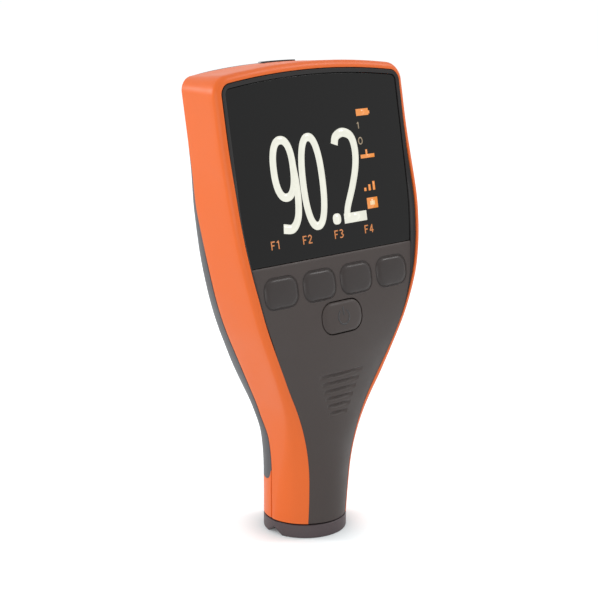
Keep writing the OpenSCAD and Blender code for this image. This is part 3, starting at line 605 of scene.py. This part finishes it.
def makeFrontEdge():
    # dark edge round the panel and the display: rises from the glass to just under the crest of the rim
    path = outlinePath(rowsThrough(trim["low"], 39, displayZ, 19, shoulderZ, 29, cornerZ), 12, 24)
    z0 = place(path, np.zeros((pathLength(path), 1)))[1]
    least = trim["least"]*ease(trim["low"], trim["low"] + trim["leastTall"], z0)
    rise = np.maximum(rimOut(z0) - trim["under"], least)
    share = np.array([[1, 1, 0.92, 0.6, 0.3, 0.06, 0, 0]])  # how far each point stands in from the edge
    crest = np.array([[0, 0, 0.15, 0.55, 0.9, 1, 0.85, 0]])*rise  # how far it stands out of the panel
    under = np.array([[1, 0, 0, 0, 0, 0, 0, 1]])*trim["deep"]  # and how far its feet lie under it
    sx, sz = place(path, edgeIn(z0) + seam + trimWidth(z0)*share)
    sy = panelY(np.minimum(sx, halfWidth(sz, edgeIn(sz) + seam)), sz) + under - crest
    strip = bothSides(np.stack([sx, sy, sz], -1))
    piece = makePiece("front_edge", [(strip, True, None)], finish["edge"], "housing", [strip[0], strip[-1]],
                      sharp=40)
    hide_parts("front_cover")


makeFrontCover()
makeFrontEdge()
print("front cover done")


# Keys: pillowed caps that follow the face, each with a thin web that closes the gap round it

def makeKey(name, node, material, hole, gap, web, webDepth):
    cx, cz, half, corner = hole[0], hole[1], hole[2] - gap, hole[3] - gap
    rays = rayFan(half)
    edge, skirt = roundedLoop(rays, half, corner), roundedLoop(rays, half + web, corner + web)
    shares = np.array([1, 0.994, 0.98, 0.955, 0.92, 0.875, 0.82, 0.74, 0.62, 0.45, 0.25, 0.08])
    soft = 1 - np.clip((shares - keyShape["flat"])/(1 - keyShape["flat"]), 0, 1)**keyShape["fall"]
    low = -keyShape["valley"]*(cz > powerZ)
    pillow = mix(low, keyShape["proud"], soft) + keyShape["dome"]*(1 - shares**2)
    lift = np.concatenate([[-keyShape["skirt"], -webDepth, -webDepth], pillow])
    ring = (cx, cz) + np.concatenate([[skirt, skirt, edge], edge[None]*shares[:, None, None]])
    grid = panelPoint(ring[..., 0], ring[..., 1], -lift[:, None])
    top = np.repeat(panelPoint(cx, cz, -keyShape["proud"] - keyShape["dome"])[None, None], len(rays), 1)
    piece = makePiece(name, [(np.concatenate([grid, top]), True, None)], material, node, [grid[0]], sharp=60)
    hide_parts(node)


*softHoles, powerHole = keyHoles()
for k, hole in enumerate(softHoles):
    node = f"softkey_{k + 1}"
    makeKey(node + "_cap", node, finish["key"], hole, keyShape["gap"], keyShape["web"], keyShape["webDepth"])
makeKey("power_key_cap", "power_key", finish["front"], powerHole, keyShape["gap"] + keyShape["powerShy"],
        keyShape["powerWeb"], keyShape["powerWebDepth"])
print("keys done")


# Flat marks: ribbons carried along a path on a surface

def curveThrough(points, steps=10):  # smooth line through the points, each span a cubic from its neighbours
    p = np.asarray(points, float)
    p = np.vstack([2*p[0] - p[1], p, 2*p[-1] - p[-2]])
    t = np.linspace(0, 1, steps, endpoint=False)[None, :, None]
    a, b, c, d = p[:-3, None], p[1:-2, None], p[2:-1, None], p[3:, None]
    line = 0.5*(2*b + (c - a)*t + (2*a - 5*b + 4*c - d)*t**2 + (3*b - a - 3*c + d)*t**3)
    return np.vstack([line.reshape(-1, 2), p[-2]])


def ovalLine(cx, cy, rx, ry, power=2.3, steps=72):  # closed superellipse
    g = np.linspace(0, 2*np.pi, steps, endpoint=False)
    c, s = np.cos(g), np.sin(g)
    return np.stack([cx + rx*np.sign(c)*abs(c)**(2/power), cy + ry*np.sign(s)*abs(s)**(2/power)], -1)


def ribbon(line, width, closed=False):  # two edges, half the width to each side of the line
    line = np.asarray(line, float)
    ahead = np.roll(line, -1, 0) - np.roll(line, 1, 0) if closed else np.gradient(line, axis=0)
    side = np.stack([-ahead[:, 1], ahead[:, 0]], -1)
    side /= np.linalg.norm(side, axis=1)[:, None]
    reach = side*(np.broadcast_to(width, len(line))/2)[:, None]
    edges = np.stack([line - reach, line + reach], 1)
    return np.concatenate([edges, edges[:1]]) if closed else edges


def straight(a, b, width):
    return ribbon(np.array([a, b], float), width)


def disc(cx, cy, radius, power=2.6, steps=40):
    edge = ovalLine(cx, cy, radius, radius, power, steps)
    return np.stack([np.vstack([edge, edge[:1]]), np.broadcast_to([cx, cy], (steps + 1, 2))], 1)


def filmPiece(name, patches, material, rider, thick):  # printed film: sheets with a little thickness
    piece = makePiece(name, patches, material, rider, solid=False)
    film = piece.modifiers.new("film", "SOLIDIFY")
    film.thickness, film.offset = thick*mm, 0.0


# Display: one flat pane with its outline set in from the dark edge, and lit signs just over it

readout = {"thick": 2.35, "bar": 2.9, "baseline": 17.6, "sunk": 0.25, "out": -0.22, "film": 0.03, "gap": 0.1,
           "lowGap": 0.12, "edge": 0.22, "small": 0.36, "spacing": 0.86}


def makeLens():
    path = outlinePath(rowsThrough(displayZ + readout["lowGap"], 13, shoulderZ, 7, cornerZ), 14, 20)
    x, z = place(path, np.full((pathLength(path), 1), rim + seam + body["bezel"] + readout["gap"]))
    inward = np.array([0, np.cos(lean), -np.sin(lean)])
    rimLine = bothSides(np.stack([x[:, 0], faceLine(z[:, 0]), z[:, 0]], -1)) + inward*readout["sunk"]
    sunk = rimLine + inward*(body["lens"] - readout["sunk"])
    piece = makePiece("display_pane", [(np.stack([rimLine, sunk]), True, None)], finish["lens"], "housing",
                      [rimLine, sunk], bevel=readout["edge"], sharp=40)
    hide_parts("display_lens")


def faceMarks(name, shapes, material, out=readout["out"]):
    patches = [facePoint(shape[..., 0], shape[..., 1], out) for shape in shapes]
    filmPiece(name, patches, material, "housing", readout["film"])


makeLens()

nineTail = curveThrough([(-11.75, 35.5), (-11.25, 30), (-11.3, 24.5), (-12.2, 19.9), (-14.5, 17.3),
                         (-18.0, readout["baseline"])])
twoHook = curveThrough([(5.1, 39.3), (6.0, 41.5), (8.9, 42.5), (12.0, 41.0), (13.05, 37.0), (12.4, 32.0),
                        (10.3, 26.5), (7.6, 21.0), (6.75, 17.7)])
faceMarks("reading", [
    ribbon(ovalLine(-15.4, 34.3, 3.65, 8.1), readout["thick"], True),
    ribbon(nineTail, np.linspace(2.2, 2.7, len(nineTail))),
    ribbon(ovalLine(-4.9, 29.6, 3.75, 12.75), readout["thick"], True),
    disc(2.7, 17.9, 1.6),
    ribbon(twoHook, np.linspace(2.7, 2.3, len(twoHook))),
    straight((5.6, readout["baseline"]), (14.7, readout["baseline"]), readout["bar"]),
], finish["digit"])

glyphs = {  # strokes in a unit box
    "F": [[(0.08, 0), (0.08, 1)], [(0, 0.93), (0.62, 0.93)], [(0, 0.5), (0.5, 0.5)]],
    "1": [[(0.32, 0), (0.32, 1)], [(0.05, 0.78), (0.36, 0.97)]],
    "2": [[(0.02, 0.78), (0.14, 0.93), (0.34, 0.95), (0.5, 0.82), (0.48, 0.62), (0.05, 0.07)],
          [(0.02, 0.06), (0.6, 0.06)]],
    "3": [[(0.03, 0.9), (0.35, 0.95), (0.52, 0.74), (0.26, 0.53)],
          [(0.26, 0.53), (0.56, 0.3), (0.32, 0.05), (0.0, 0.1)]],
    "4": [[(0.42, 0), (0.42, 1)], [(0.44, 0.96), (0.04, 0.3)], [(0.0, 0.28), (0.64, 0.28)]],
}


def lettering(word, x, v, tall):  # strokes of each sign, side by side
    shapes = []
    for i, sign in enumerate(word):
        for stroke in glyphs[sign]:
            line = np.array(stroke)*tall + (x + i*tall*readout["spacing"], v)
            shapes.append(ribbon(curveThrough(line, 6) if len(stroke) > 2 else line, readout["small"]))
    return shapes


labels = {"x": (-23.4, -11.4, 1.0, 13.2), "v": 12.3, "tall": 2.4}
softLabels = []
for k, x in enumerate(labels["x"]):
    softLabels += lettering("F" + str(k + 1), x, labels["v"], labels["tall"])
statusBars = [  # both ends across and up, then the width
    (15.25, 47.7, 20.2, 47.7, 2.0), (20.2, 47.5, 20.7, 47.5, 0.9),  # battery
    (15.1, 34.75, 20.7, 34.75, 1.1), (17.6, 35.2, 17.6, 36.7, 0.7),  # probe
    (15.4, 24.6, 15.4, 25.6, 0.9), (17.2, 24.6, 17.2, 26.4, 0.9),  # rising bars
    (19.0, 24.6, 19.0, 27.2, 0.9),
    (15.5, 20.9, 19.8, 20.9, 3.2),  # panel of the dot
]
faceMarks("soft_labels", softLabels, finish["label"])
faceMarks("status_marks", [straight((a, b), (c, d), w) for a, b, c, d, w in statusBars], finish["amber"])
faceMarks("status_dot", [straight((16.7, 20.9), (18.6, 20.9), 1.2)], finish["pale"],
          readout["out"] + readout["film"])
ring = ribbon(ovalLine(15.7, 39.4, 0.75, 0.95, 2.0, 32), readout["small"], True)
faceMarks("status_dim", [*lettering("1", 15.0, 43.0, 1.9), ring], finish["dim"])
print("display done")


# Power mark: broken ring and bar lying on the domed key

powerMark = {"radius": 2.15, "gap": 35.0, "stroke": 0.5, "bar": (0.5, 2.9), "above": 0.02, "film": 0.05}


def makePowerMark():
    stroke, (low, high) = powerMark["stroke"], powerMark["bar"]
    g = np.radians(np.linspace(90 + powerMark["gap"], 450 - powerMark["gap"], 60))
    brokenRing = powerMark["radius"]*np.stack([np.cos(g), np.sin(g)], -1)
    patches = []
    for shape in (ribbon(brokenRing, stroke), straight((0, low), (0, high), stroke)):
        x, v = shape[..., 0], shape[..., 1]
        share = np.hypot(x/(keyShape["powerWidth"]/2), v/(keyShape["powerHeight"]/2))
        lift = keyShape["proud"] + keyShape["dome"]*(1 - share**2) + powerMark["above"]
        patches.append(panelPoint(x, powerZ + v, -lift))
    filmPiece("power_mark", patches, finish["mark"], "power_key", powerMark["film"])


makePowerMark()


# Rear cover: half-round back with the battery opening and four screw wells

backShape = {"lowCorner": 3.6, "lowFade": 14.0, "topGap": 1.2, "middle": 0.72, "step": 0.1, "lip": 0.5,
             "edge": 0.35, "doorGap": 0.35, "doorCorner": 5.0, "doorRoom": 1.6, "screwWell": 2.45,
             "screwRoom": 3.4, "upperScrews": (12.0, 10.5), "lowerScrews": (10.0, 6.8)}
cell = {"d": 14.5, "l": 50.5, "z": height - 46.0, "gap": 0.2, "trayWall": 1.0, "contact": 3.45,
        "trayRim": 12.9}
tray = {"w": 2*(cell["d"] + 2*cell["gap"] + cell["trayWall"]),
        "h": cell["l"] + 2*(cell["contact"] + cell["trayWall"])}
doorFit = 0.3  # room between the tray and the door
door = {"w": tray["w"] + 2*(wall + doorFit), "h": tray["h"] - 2*cell["trayWall"] + 2*doorFit,
        "seat": cell["trayRim"] + 0.35, "crest": 21.0, "ball": 180.0, "corner": 5.0, "edge": 0.3, "ribs": 4,
        "ribPitch": 2.0, "ribTop": 7.0, "ribLength": 18.0, "ribHalf": 0.55, "ribDeep": 0.4, "ribZone": 15.0}
upperX, upperDrop = backShape["upperScrews"]
lowerX, lowerDrop = backShape["lowerScrews"]
upperZ, lowerZ = height - upperDrop, cell["z"] - tray["h"]/2 - lowerDrop
screws = [(side*x, z) for x, z in ((upperX, upperZ), (lowerX, lowerZ)) for side in (-1, 1)]


def lowLift(d):  # the lower end rises in a quarter circle towards each side edge, d away from it
    r = backShape["lowCorner"]
    return r - np.sqrt(np.maximum(r*r - np.maximum(r - d, 0)**2, 0))


def makeRearCover():
    low, top = body["rearLow"], height - backShape["topGap"] - seam
    doorReach, screwRoom = door["h"]/2 + backShape["doorRoom"], backShape["screwRoom"]
    marks = [lowerZ - screwRoom, cell["z"] - doorReach, cell["z"] + doorReach, upperZ + screwRoom]
    a, b, c, d = marks
    rows = np.concatenate([rowsThrough(low, 39, a, 8, b, 40, c, 8, d),
                           d + (top - d)*np.sin(np.linspace(0, np.pi/2, 14))])
    r = [int(np.argmin(abs(rows - v))) for v in marks]
    middle, edgeCols, midCols = backShape["middle"], 15, 16  # the openings lie within the middle share
    right = np.concatenate([np.cos(np.linspace(0, np.arccos(middle), edgeCols + 1)),
                            np.linspace(middle, 0, midCols + 1)[1:]])
    u = np.concatenate([right, -right[-2::-1]])
    left, centre, far = edgeCols, edgeCols + midCols, edgeCols + 2*midCols
    fade = (1 - ease(low, low + backShape["lowFade"], rows))[:, None]
    z = rows[:, None] + lowLift(np.arccos(np.clip(abs(u), 0, 1))*neckR)[None]*fade
    flat = np.stack([u[None]*halfWidth(z, backIn(z)), z], -1)
    blocks = [(r[1], r[2], left, far), (r[2], r[3], centre, far), (r[2], r[3], left, centre),
              (r[0], r[1], centre, far), (r[0], r[1], left, centre)]
    keep = keepOutside(flat, blocks)
    gap, well = backShape["doorGap"], backShape["screwWell"]
    opening = np.array([door["w"]/2 + gap, door["h"]/2 + gap])
    holes = [(0.0, cell["z"], opening, backShape["doorCorner"])]
    holes += [(x, zc, np.array([well, well]), well - 0.01) for x, zc in screws]

    def skin(points, inset):  # y on the ellipse through the rear edge, set in by the wall for the inner skin
        px, pz = points[..., 0], points[..., 1]
        width = halfWidth(pz, backIn(pz))
        share = np.clip(px/width, -1, 1)
        zc = crownZ(px, pz)
        y = rearEdgeY(zc) + backShape["step"] + (backRise(pz) - inset)*np.sqrt(1 - share**2)
        return np.stack([px*(1 - inset/width), y, zc], -1)

    outer, inner = skin(flat, 0.0), skin(flat, wall)
    patches = [(outer, False, keep), (inner, False, keep), *closeEdges(outer, inner)]
    for block, hole in zip(blocks, holes):
        rings = holeRings(flat, block, hole, backShape["lip"], (0, 0.5, 1, 2))
        patches += holeWalls(skin(rings, 0.0), skin(rings[[0, -1]], wall))
    piece = makePiece("rear_shell", patches, finish["rear"], "housing", bevel=backShape["edge"], sharp=35)
    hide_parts("rear_cover")


makeRearCover()


def makeNeckCollar():  # orange half tube under the rear cover, its upper end following the cover's corners
    start = np.arcsin((body["neckEdge"] + seam)/neckR)
    g = np.linspace(start, np.pi - start, 60)
    reach = np.minimum(g - start, np.pi - start - g)*neckR
    top = body["rearLow"] - seam + lowLift(reach)
    z = mix(seamZ, top[None], np.linspace(0, 1, 14)[:, None])
    skins = [np.stack([r*np.cos(g) + 0*z, r*np.sin(g) + 0*z, z], -1) for r in (neckR, neckR - wall)]
    piece = makePiece("neck_back", [*skins, *closeEdges(*skins)], finish["orange"], "housing", bevel=0.2,
                      sharp=40)
    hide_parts("neck_collar")


makeNeckCollar()


# Battery cover: crowned pad with rounded corners and finger ribs

def makeBatteryCover():
    halfW, halfH, r = door["w"]/2, door["h"]/2, door["corner"]
    ribRows = cell["z"] + halfH - door["ribTop"] - door["ribPitch"]*np.arange(door["ribs"])
    arc = r*(1 - np.cos(np.linspace(0, np.pi/2, 10)))
    straightRows = rowsThrough(r - halfH, 29, halfH - door["ribZone"], 69, halfH - r)
    rows = np.concatenate([-halfH + arc[:-1], straightRows, halfH - arc[::-1]])
    u = np.linspace(-1, 1, 41)

    def sheet(inset, sunk):
        w, h, c = halfW - inset, halfH - inset, r - inset
        z = rows*h/halfH
        past = np.clip(np.abs(z) - (h - c), 0, c)
        wide = w - c + np.sqrt(np.maximum(c*c - past**2, 0))
        x = u[None]*wide[:, None]
        zz = np.repeat(z[:, None], len(u), 1)
        y = door["crest"] - sunk - door["ball"] + np.sqrt(door["ball"]**2 - x**2 - zz**2)
        if not inset:
            near = (zz[..., None] + cell["z"] - ribRows)/door["ribHalf"]
            run = np.clip(1 - (np.abs(x)/(door["ribLength"]/2))**8, 0, 1)[..., None]
            y = y - door["ribDeep"]*(np.sqrt(np.clip(1 - near**2, 0, 1))*run).sum(-1)
        return np.stack([x, y, zz + cell["z"]], -1)

    outer, inner = sheet(0.0, 0.0), sheet(wall, wall)
    rimOuter, rimInner = (border(grid, 0, len(rows) - 1, 0, len(u) - 1) for grid in (outer, inner))
    seatOuter, seatInner = rimOuter.copy(), rimInner.copy()
    seatOuter[:, 1] = seatInner[:, 1] = door["seat"]
    skirt = np.stack([rimOuter, seatOuter, seatInner, rimInner])
    piece = makePiece("battery_lid", [outer, inner, (skirt, True, None)], finish["rear"], "battery_cover",
                      bevel=door["edge"], sharp=40)
    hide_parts("battery_cover")


makeBatteryCover()
print("back done")


# USB flap: rubber block with an orange inlay, and a thin lip at the back that lies over a rib of the case

def makeFlap():
    shape = flapShape
    fall, topBack = float(rearIn(height)), float(rearEdgeY(height))  # the top sinks towards its rear edge
    topFront = float(panelEdgeY(height - rim)) + rim

    def block(name, width, frontY, backY, topZ, lowZ, corner, look, slot, sink=0.0, rider="usb_flap"):
        # rings of a rounded rectangle, drawn in and up over a small radius, following the crowned top
        half = np.array([width/2, (backY - frontY)/2])
        edge = roundedLoop(rayFan(half), half, corner)
        edgeR = min(shape["round"], half.min()/2, (topZ - lowZ)/2)
        inset = np.concatenate([edgeR*np.array([0, 0, 0.1, 0.3, 0.65, 1]), half.min()*np.array([0.6, 0.8])])
        level = topZ - edgeR*np.array([0, 1, 0.56, 0.24, 0.06, 0, 0, 0])
        level[0] = lowZ
        ring = edge[None]*(1 - inset[:, None]/half.min())[..., None]
        x, y = ring[..., 0], ring[..., 1] + (frontY + backY)/2
        z = level[:, None] - x*x/(2*body["crownRadius"]) - fall*(y - topFront)/(topBack - topFront)
        ahead = 1 - ease(split - shape["step"], split + shape["step"], y)  # sunk in front of the hinge strip
        z = z - sink*ahead*(level > lowZ)[:, None]
        grid = np.stack([x, y, z], -1)
        return makePiece(name, [(grid, True, None)], finish[look], rider, [grid[0], grid[-1]], sharp=50)

    back, top, low = shape["backY"], height + shape["proud"], height + shape["proud"] - shape["thick"]
    front, split, flush = back - shape["depth"], back - shape["strip"], height + shape["flush"]
    width, corner, root, lip = (shape[k] for k in ("width", "corner", "root", "lip"))
    moving = [
        block("flap_cap", width, front, back - root, top - lip/2, low, corner, "flap", "flap_rubber",
              shape["inlay"] + shape["proud"] - lip/2),
        block("flap_inlay", width, front, split - shape["step"], flush,
              flush - shape["inlay"] - shape["inlayLap"], corner, "orange", "orange"),
        block("flap_lip", width, split, back + root, top, top - lip, shape["lipCorner"], "flap",
              "flap_rubber")]
    for piece in moving:
        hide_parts("usb_flap")
    block("flap_root", width - shape["rootShort"], back - root + shape["rootGap"],
          back + root + shape["rootLap"], top - lip - shape["lipGap"], low, shape["rootCorner"], "flap",
          "flap_rubber", rider="housing")


makeFlap()


# Probe foot: turned ring with a V across its face

footShape = {"bore": 5.56, "cut": 0.45, "topCut": 0.2, "veeWide": 3.0, "veeTall": 2.2, "veeFrom": 7.06,
             "faceFrom": 7.6}


def makeFoot():
    high, cut, topCut = body["footHeight"], footShape["cut"], footShape["topCut"]
    bore, vee = footShape["bore"], footShape["veeFrom"]
    g = np.linspace(0, 2*np.pi, 720, endpoint=False)
    bend = np.linspace(0, np.pi/2, 5)[1:]
    # section from the bore's lower edge over the face and up the outside, then back over the top
    radius = np.concatenate([[bore, vee - 0.01, vee], np.linspace(footShape["faceFrom"], neckR - cut, 6),
                             neckR - cut + cut*np.sin(bend), np.full(5, neckR), [neckR - topCut, bore]])
    level = np.concatenate([np.zeros(9), cut*(1 - np.cos(bend)), np.linspace(2*cut, high - topCut, 5),
                            [high, high]])
    radius, level = radius[:, None], level[:, None]
    x, y = radius*np.cos(g), radius*np.sin(g)
    notch = np.maximum(footShape["veeTall"]*(1 - np.abs(y)/footShape["veeWide"]), 0)*(radius >= vee)
    grid = np.stack([x, y, level + notch*(1 - level/high)], -1)
    section = np.concatenate([grid, grid[:1]])
    piece = makePiece("foot_ring", [(section, True, None)], finish["foot"], "housing", sharp=32)
    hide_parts("probe_foot")


makeFoot()
print("foot and flap done")

# Pieces that keep their CAD shape
worn = {
    "seal": ("case_seal", "lens_tape"), "film": ("display_flex",), "mat": ("key_mat",),
    "board": ("main_board",), "chip": ("display_module", "board_chips", "buzzer"),
    "steel": ("usb_socket", "battery_springs", "battery_plates", "probe_sleeve", "probe_spring"),
    "inner": ("chassis", "battery_tray", "probe_guide", "probe_cap"), "screw": ("case_screws",),
    "cell": ("battery_left", "battery_right"), "core": ("probe_core",), "copper": ("probe_coil",),
    "tip": ("probe_tip",), "white": ("probe_plug",),
}
for look, names in worn.items():
    for node in names:
        nodes[node].data.materials.clear()
        nodes[node].data.materials.append(finish[look])
print("inner nodes dressed:", sum(map(len, worn.values())))

# Stage: pale floor, white surround, soft lights, camera
# the floor glow is weakest in a ring round the foot, which paints a contact shadow there; further out it
# rises until the far floor is white
stage = {"floorColour": (0.84, 0.885, 0.9, 1), "floorReach": 4.0, "glowNear": 0.43, "glowFar": 0.5,
         "glowAndShadowRadii": (0.006, 0.024, 0.5), "surround": 0.6}
lamps = {  # place, height aimed at, size and power
    "left": ((-0.84, -0.5, 0.2), 0.06, 0.7, 3.1),
    "backLeft": ((-0.5, 0.6, 0.37), 0.1, 0.2, 2.2),
    "right": ((0.64, -0.36, 0.72), 0.08, 0.3, 2.4),
    "top": ((-0.1, -0.15, 0.98), 0.1, 0.6, 0.5),
}
view = {  # where the photo was taken from
    "turn": 42.292, "rise": 13.475, "away": 0.466689, "target": (-0.002442, 0, 0.071172), "sensor": 36.0,
    "focalPixels": 1577.598, "photoPixels": 598,
}


def directRay(tree):  # 1 for rays from the camera, and for those that gloss or glass sends on
    seen = addNode(tree, "ShaderNodeLightPath")
    most = calc(tree, "MAXIMUM", seen.outputs["Is Camera Ray"], seen.outputs["Is Glossy Ray"])
    return calc(tree, "MAXIMUM", most, seen.outputs["Is Transmission Ray"])


def makeFloor():
    mesh = bpy.data.meshes.new("floor")
    r = stage["floorReach"]
    mesh.from_pydata([(-r, -r, 0), (r, -r, 0), (r, r, 0), (-r, r, 0)], [], [(0, 1, 2, 3)])
    floor = addObject("floor", mesh)
    material = bpy.data.materials.new("paleFloor")
    material.use_nodes = True
    tree = material.node_tree
    tree.nodes.clear()
    matt = addNode(tree, "ShaderNodeBsdfDiffuse", {"Color": stage["floorColour"]})
    spot = addNode(tree, "ShaderNodeTexCoord").outputs["Object"]
    away = addNode(tree, "ShaderNodeVectorMath", {0: spot}, operation="LENGTH").outputs["Value"]
    start, full, end = stage["glowAndShadowRadii"]  # no glow under the foot and less glow in a ring round it: a painted contact shadow, on top of the real shadow that stays
    # glow rising from nothing at the foot to its full level: the dimmer floor in between is painted shadow
    near = addNode(tree, "ShaderNodeMapRange",
                   {"Value": away, "From Min": start, "From Max": full, "To Max": stage["glowNear"]},
                   interpolation_type="SMOOTHSTEP")
    far = addNode(tree, "ShaderNodeMapRange",
                  {"Value": away, "From Min": full, "From Max": end,
                   "To Max": stage["glowFar"] - stage["glowNear"]})
    level = calc(tree, "ADD", near.outputs[0], far.outputs[0])
    glow = addNode(tree, "ShaderNodeEmission",
                   {"Color": (1, 1, 1, 1), "Strength": calc(tree, "MULTIPLY", directRay(tree), level)})
    both = addNode(tree, "ShaderNodeAddShader", {0: matt.outputs[0], 1: glow.outputs[0]})
    addNode(tree, "ShaderNodeOutputMaterial", {"Surface": both.outputs[0]})
    mesh.materials.append(material)


def makeSurround():
    world = bpy.data.worlds.new("surround")
    bpy.context.scene.world = world
    world.use_nodes = True
    tree = world.node_tree
    tree.nodes.clear()
    white = addNode(tree, "ShaderNodeBackground", {"Color": (1, 1, 1, 1), "Strength": 1.0})
    soft = addNode(tree, "ShaderNodeBackground", {"Color": (1, 1, 1, 1), "Strength": stage["surround"]})
    pick = addNode(tree, "ShaderNodeMixShader", {0: directRay(tree), 1: soft.outputs[0], 2: white.outputs[0]})
    addNode(tree, "ShaderNodeOutputWorld", {"Surface": pick.outputs[0]})


def areaLight(name, spot, aimZ, size, power):
    lamp = bpy.data.lights.new(name, "AREA")
    lamp.shape, lamp.size, lamp.energy = "DISK", size, power
    lightObject = addObject(name, lamp)
    lightObject.location = spot
    aim = Vector((0, 0, aimZ)) - Vector(spot)
    lightObject.rotation_euler = aim.to_track_quat("-Z", "Y").to_euler()


def makeCamera():
    turn, rise = np.radians(view["turn"]), np.radians(view["rise"])
    back = Vector((-np.sin(turn)*np.cos(rise), -np.cos(turn)*np.cos(rise), np.sin(rise)))
    lens = bpy.data.cameras.new("camera")
    lens.sensor_width = view["sensor"]
    lens.lens = view["sensor"]*view["focalPixels"]/view["photoPixels"]
    lens.clip_start = 0.01
    camera = addObject("camera", lens)
    camera.location = Vector(view["target"]) + back*view["away"]
    camera.rotation_euler = (-back).to_track_quat("-Z", "Y").to_euler()
    bpy.context.scene.camera = camera


makeFloor()
makeSurround()
for name, lamp in lamps.items():
    areaLight(name, *lamp)
makeCamera()
bpy.context.scene.view_settings.view_transform = "Standard"
print("stage set")
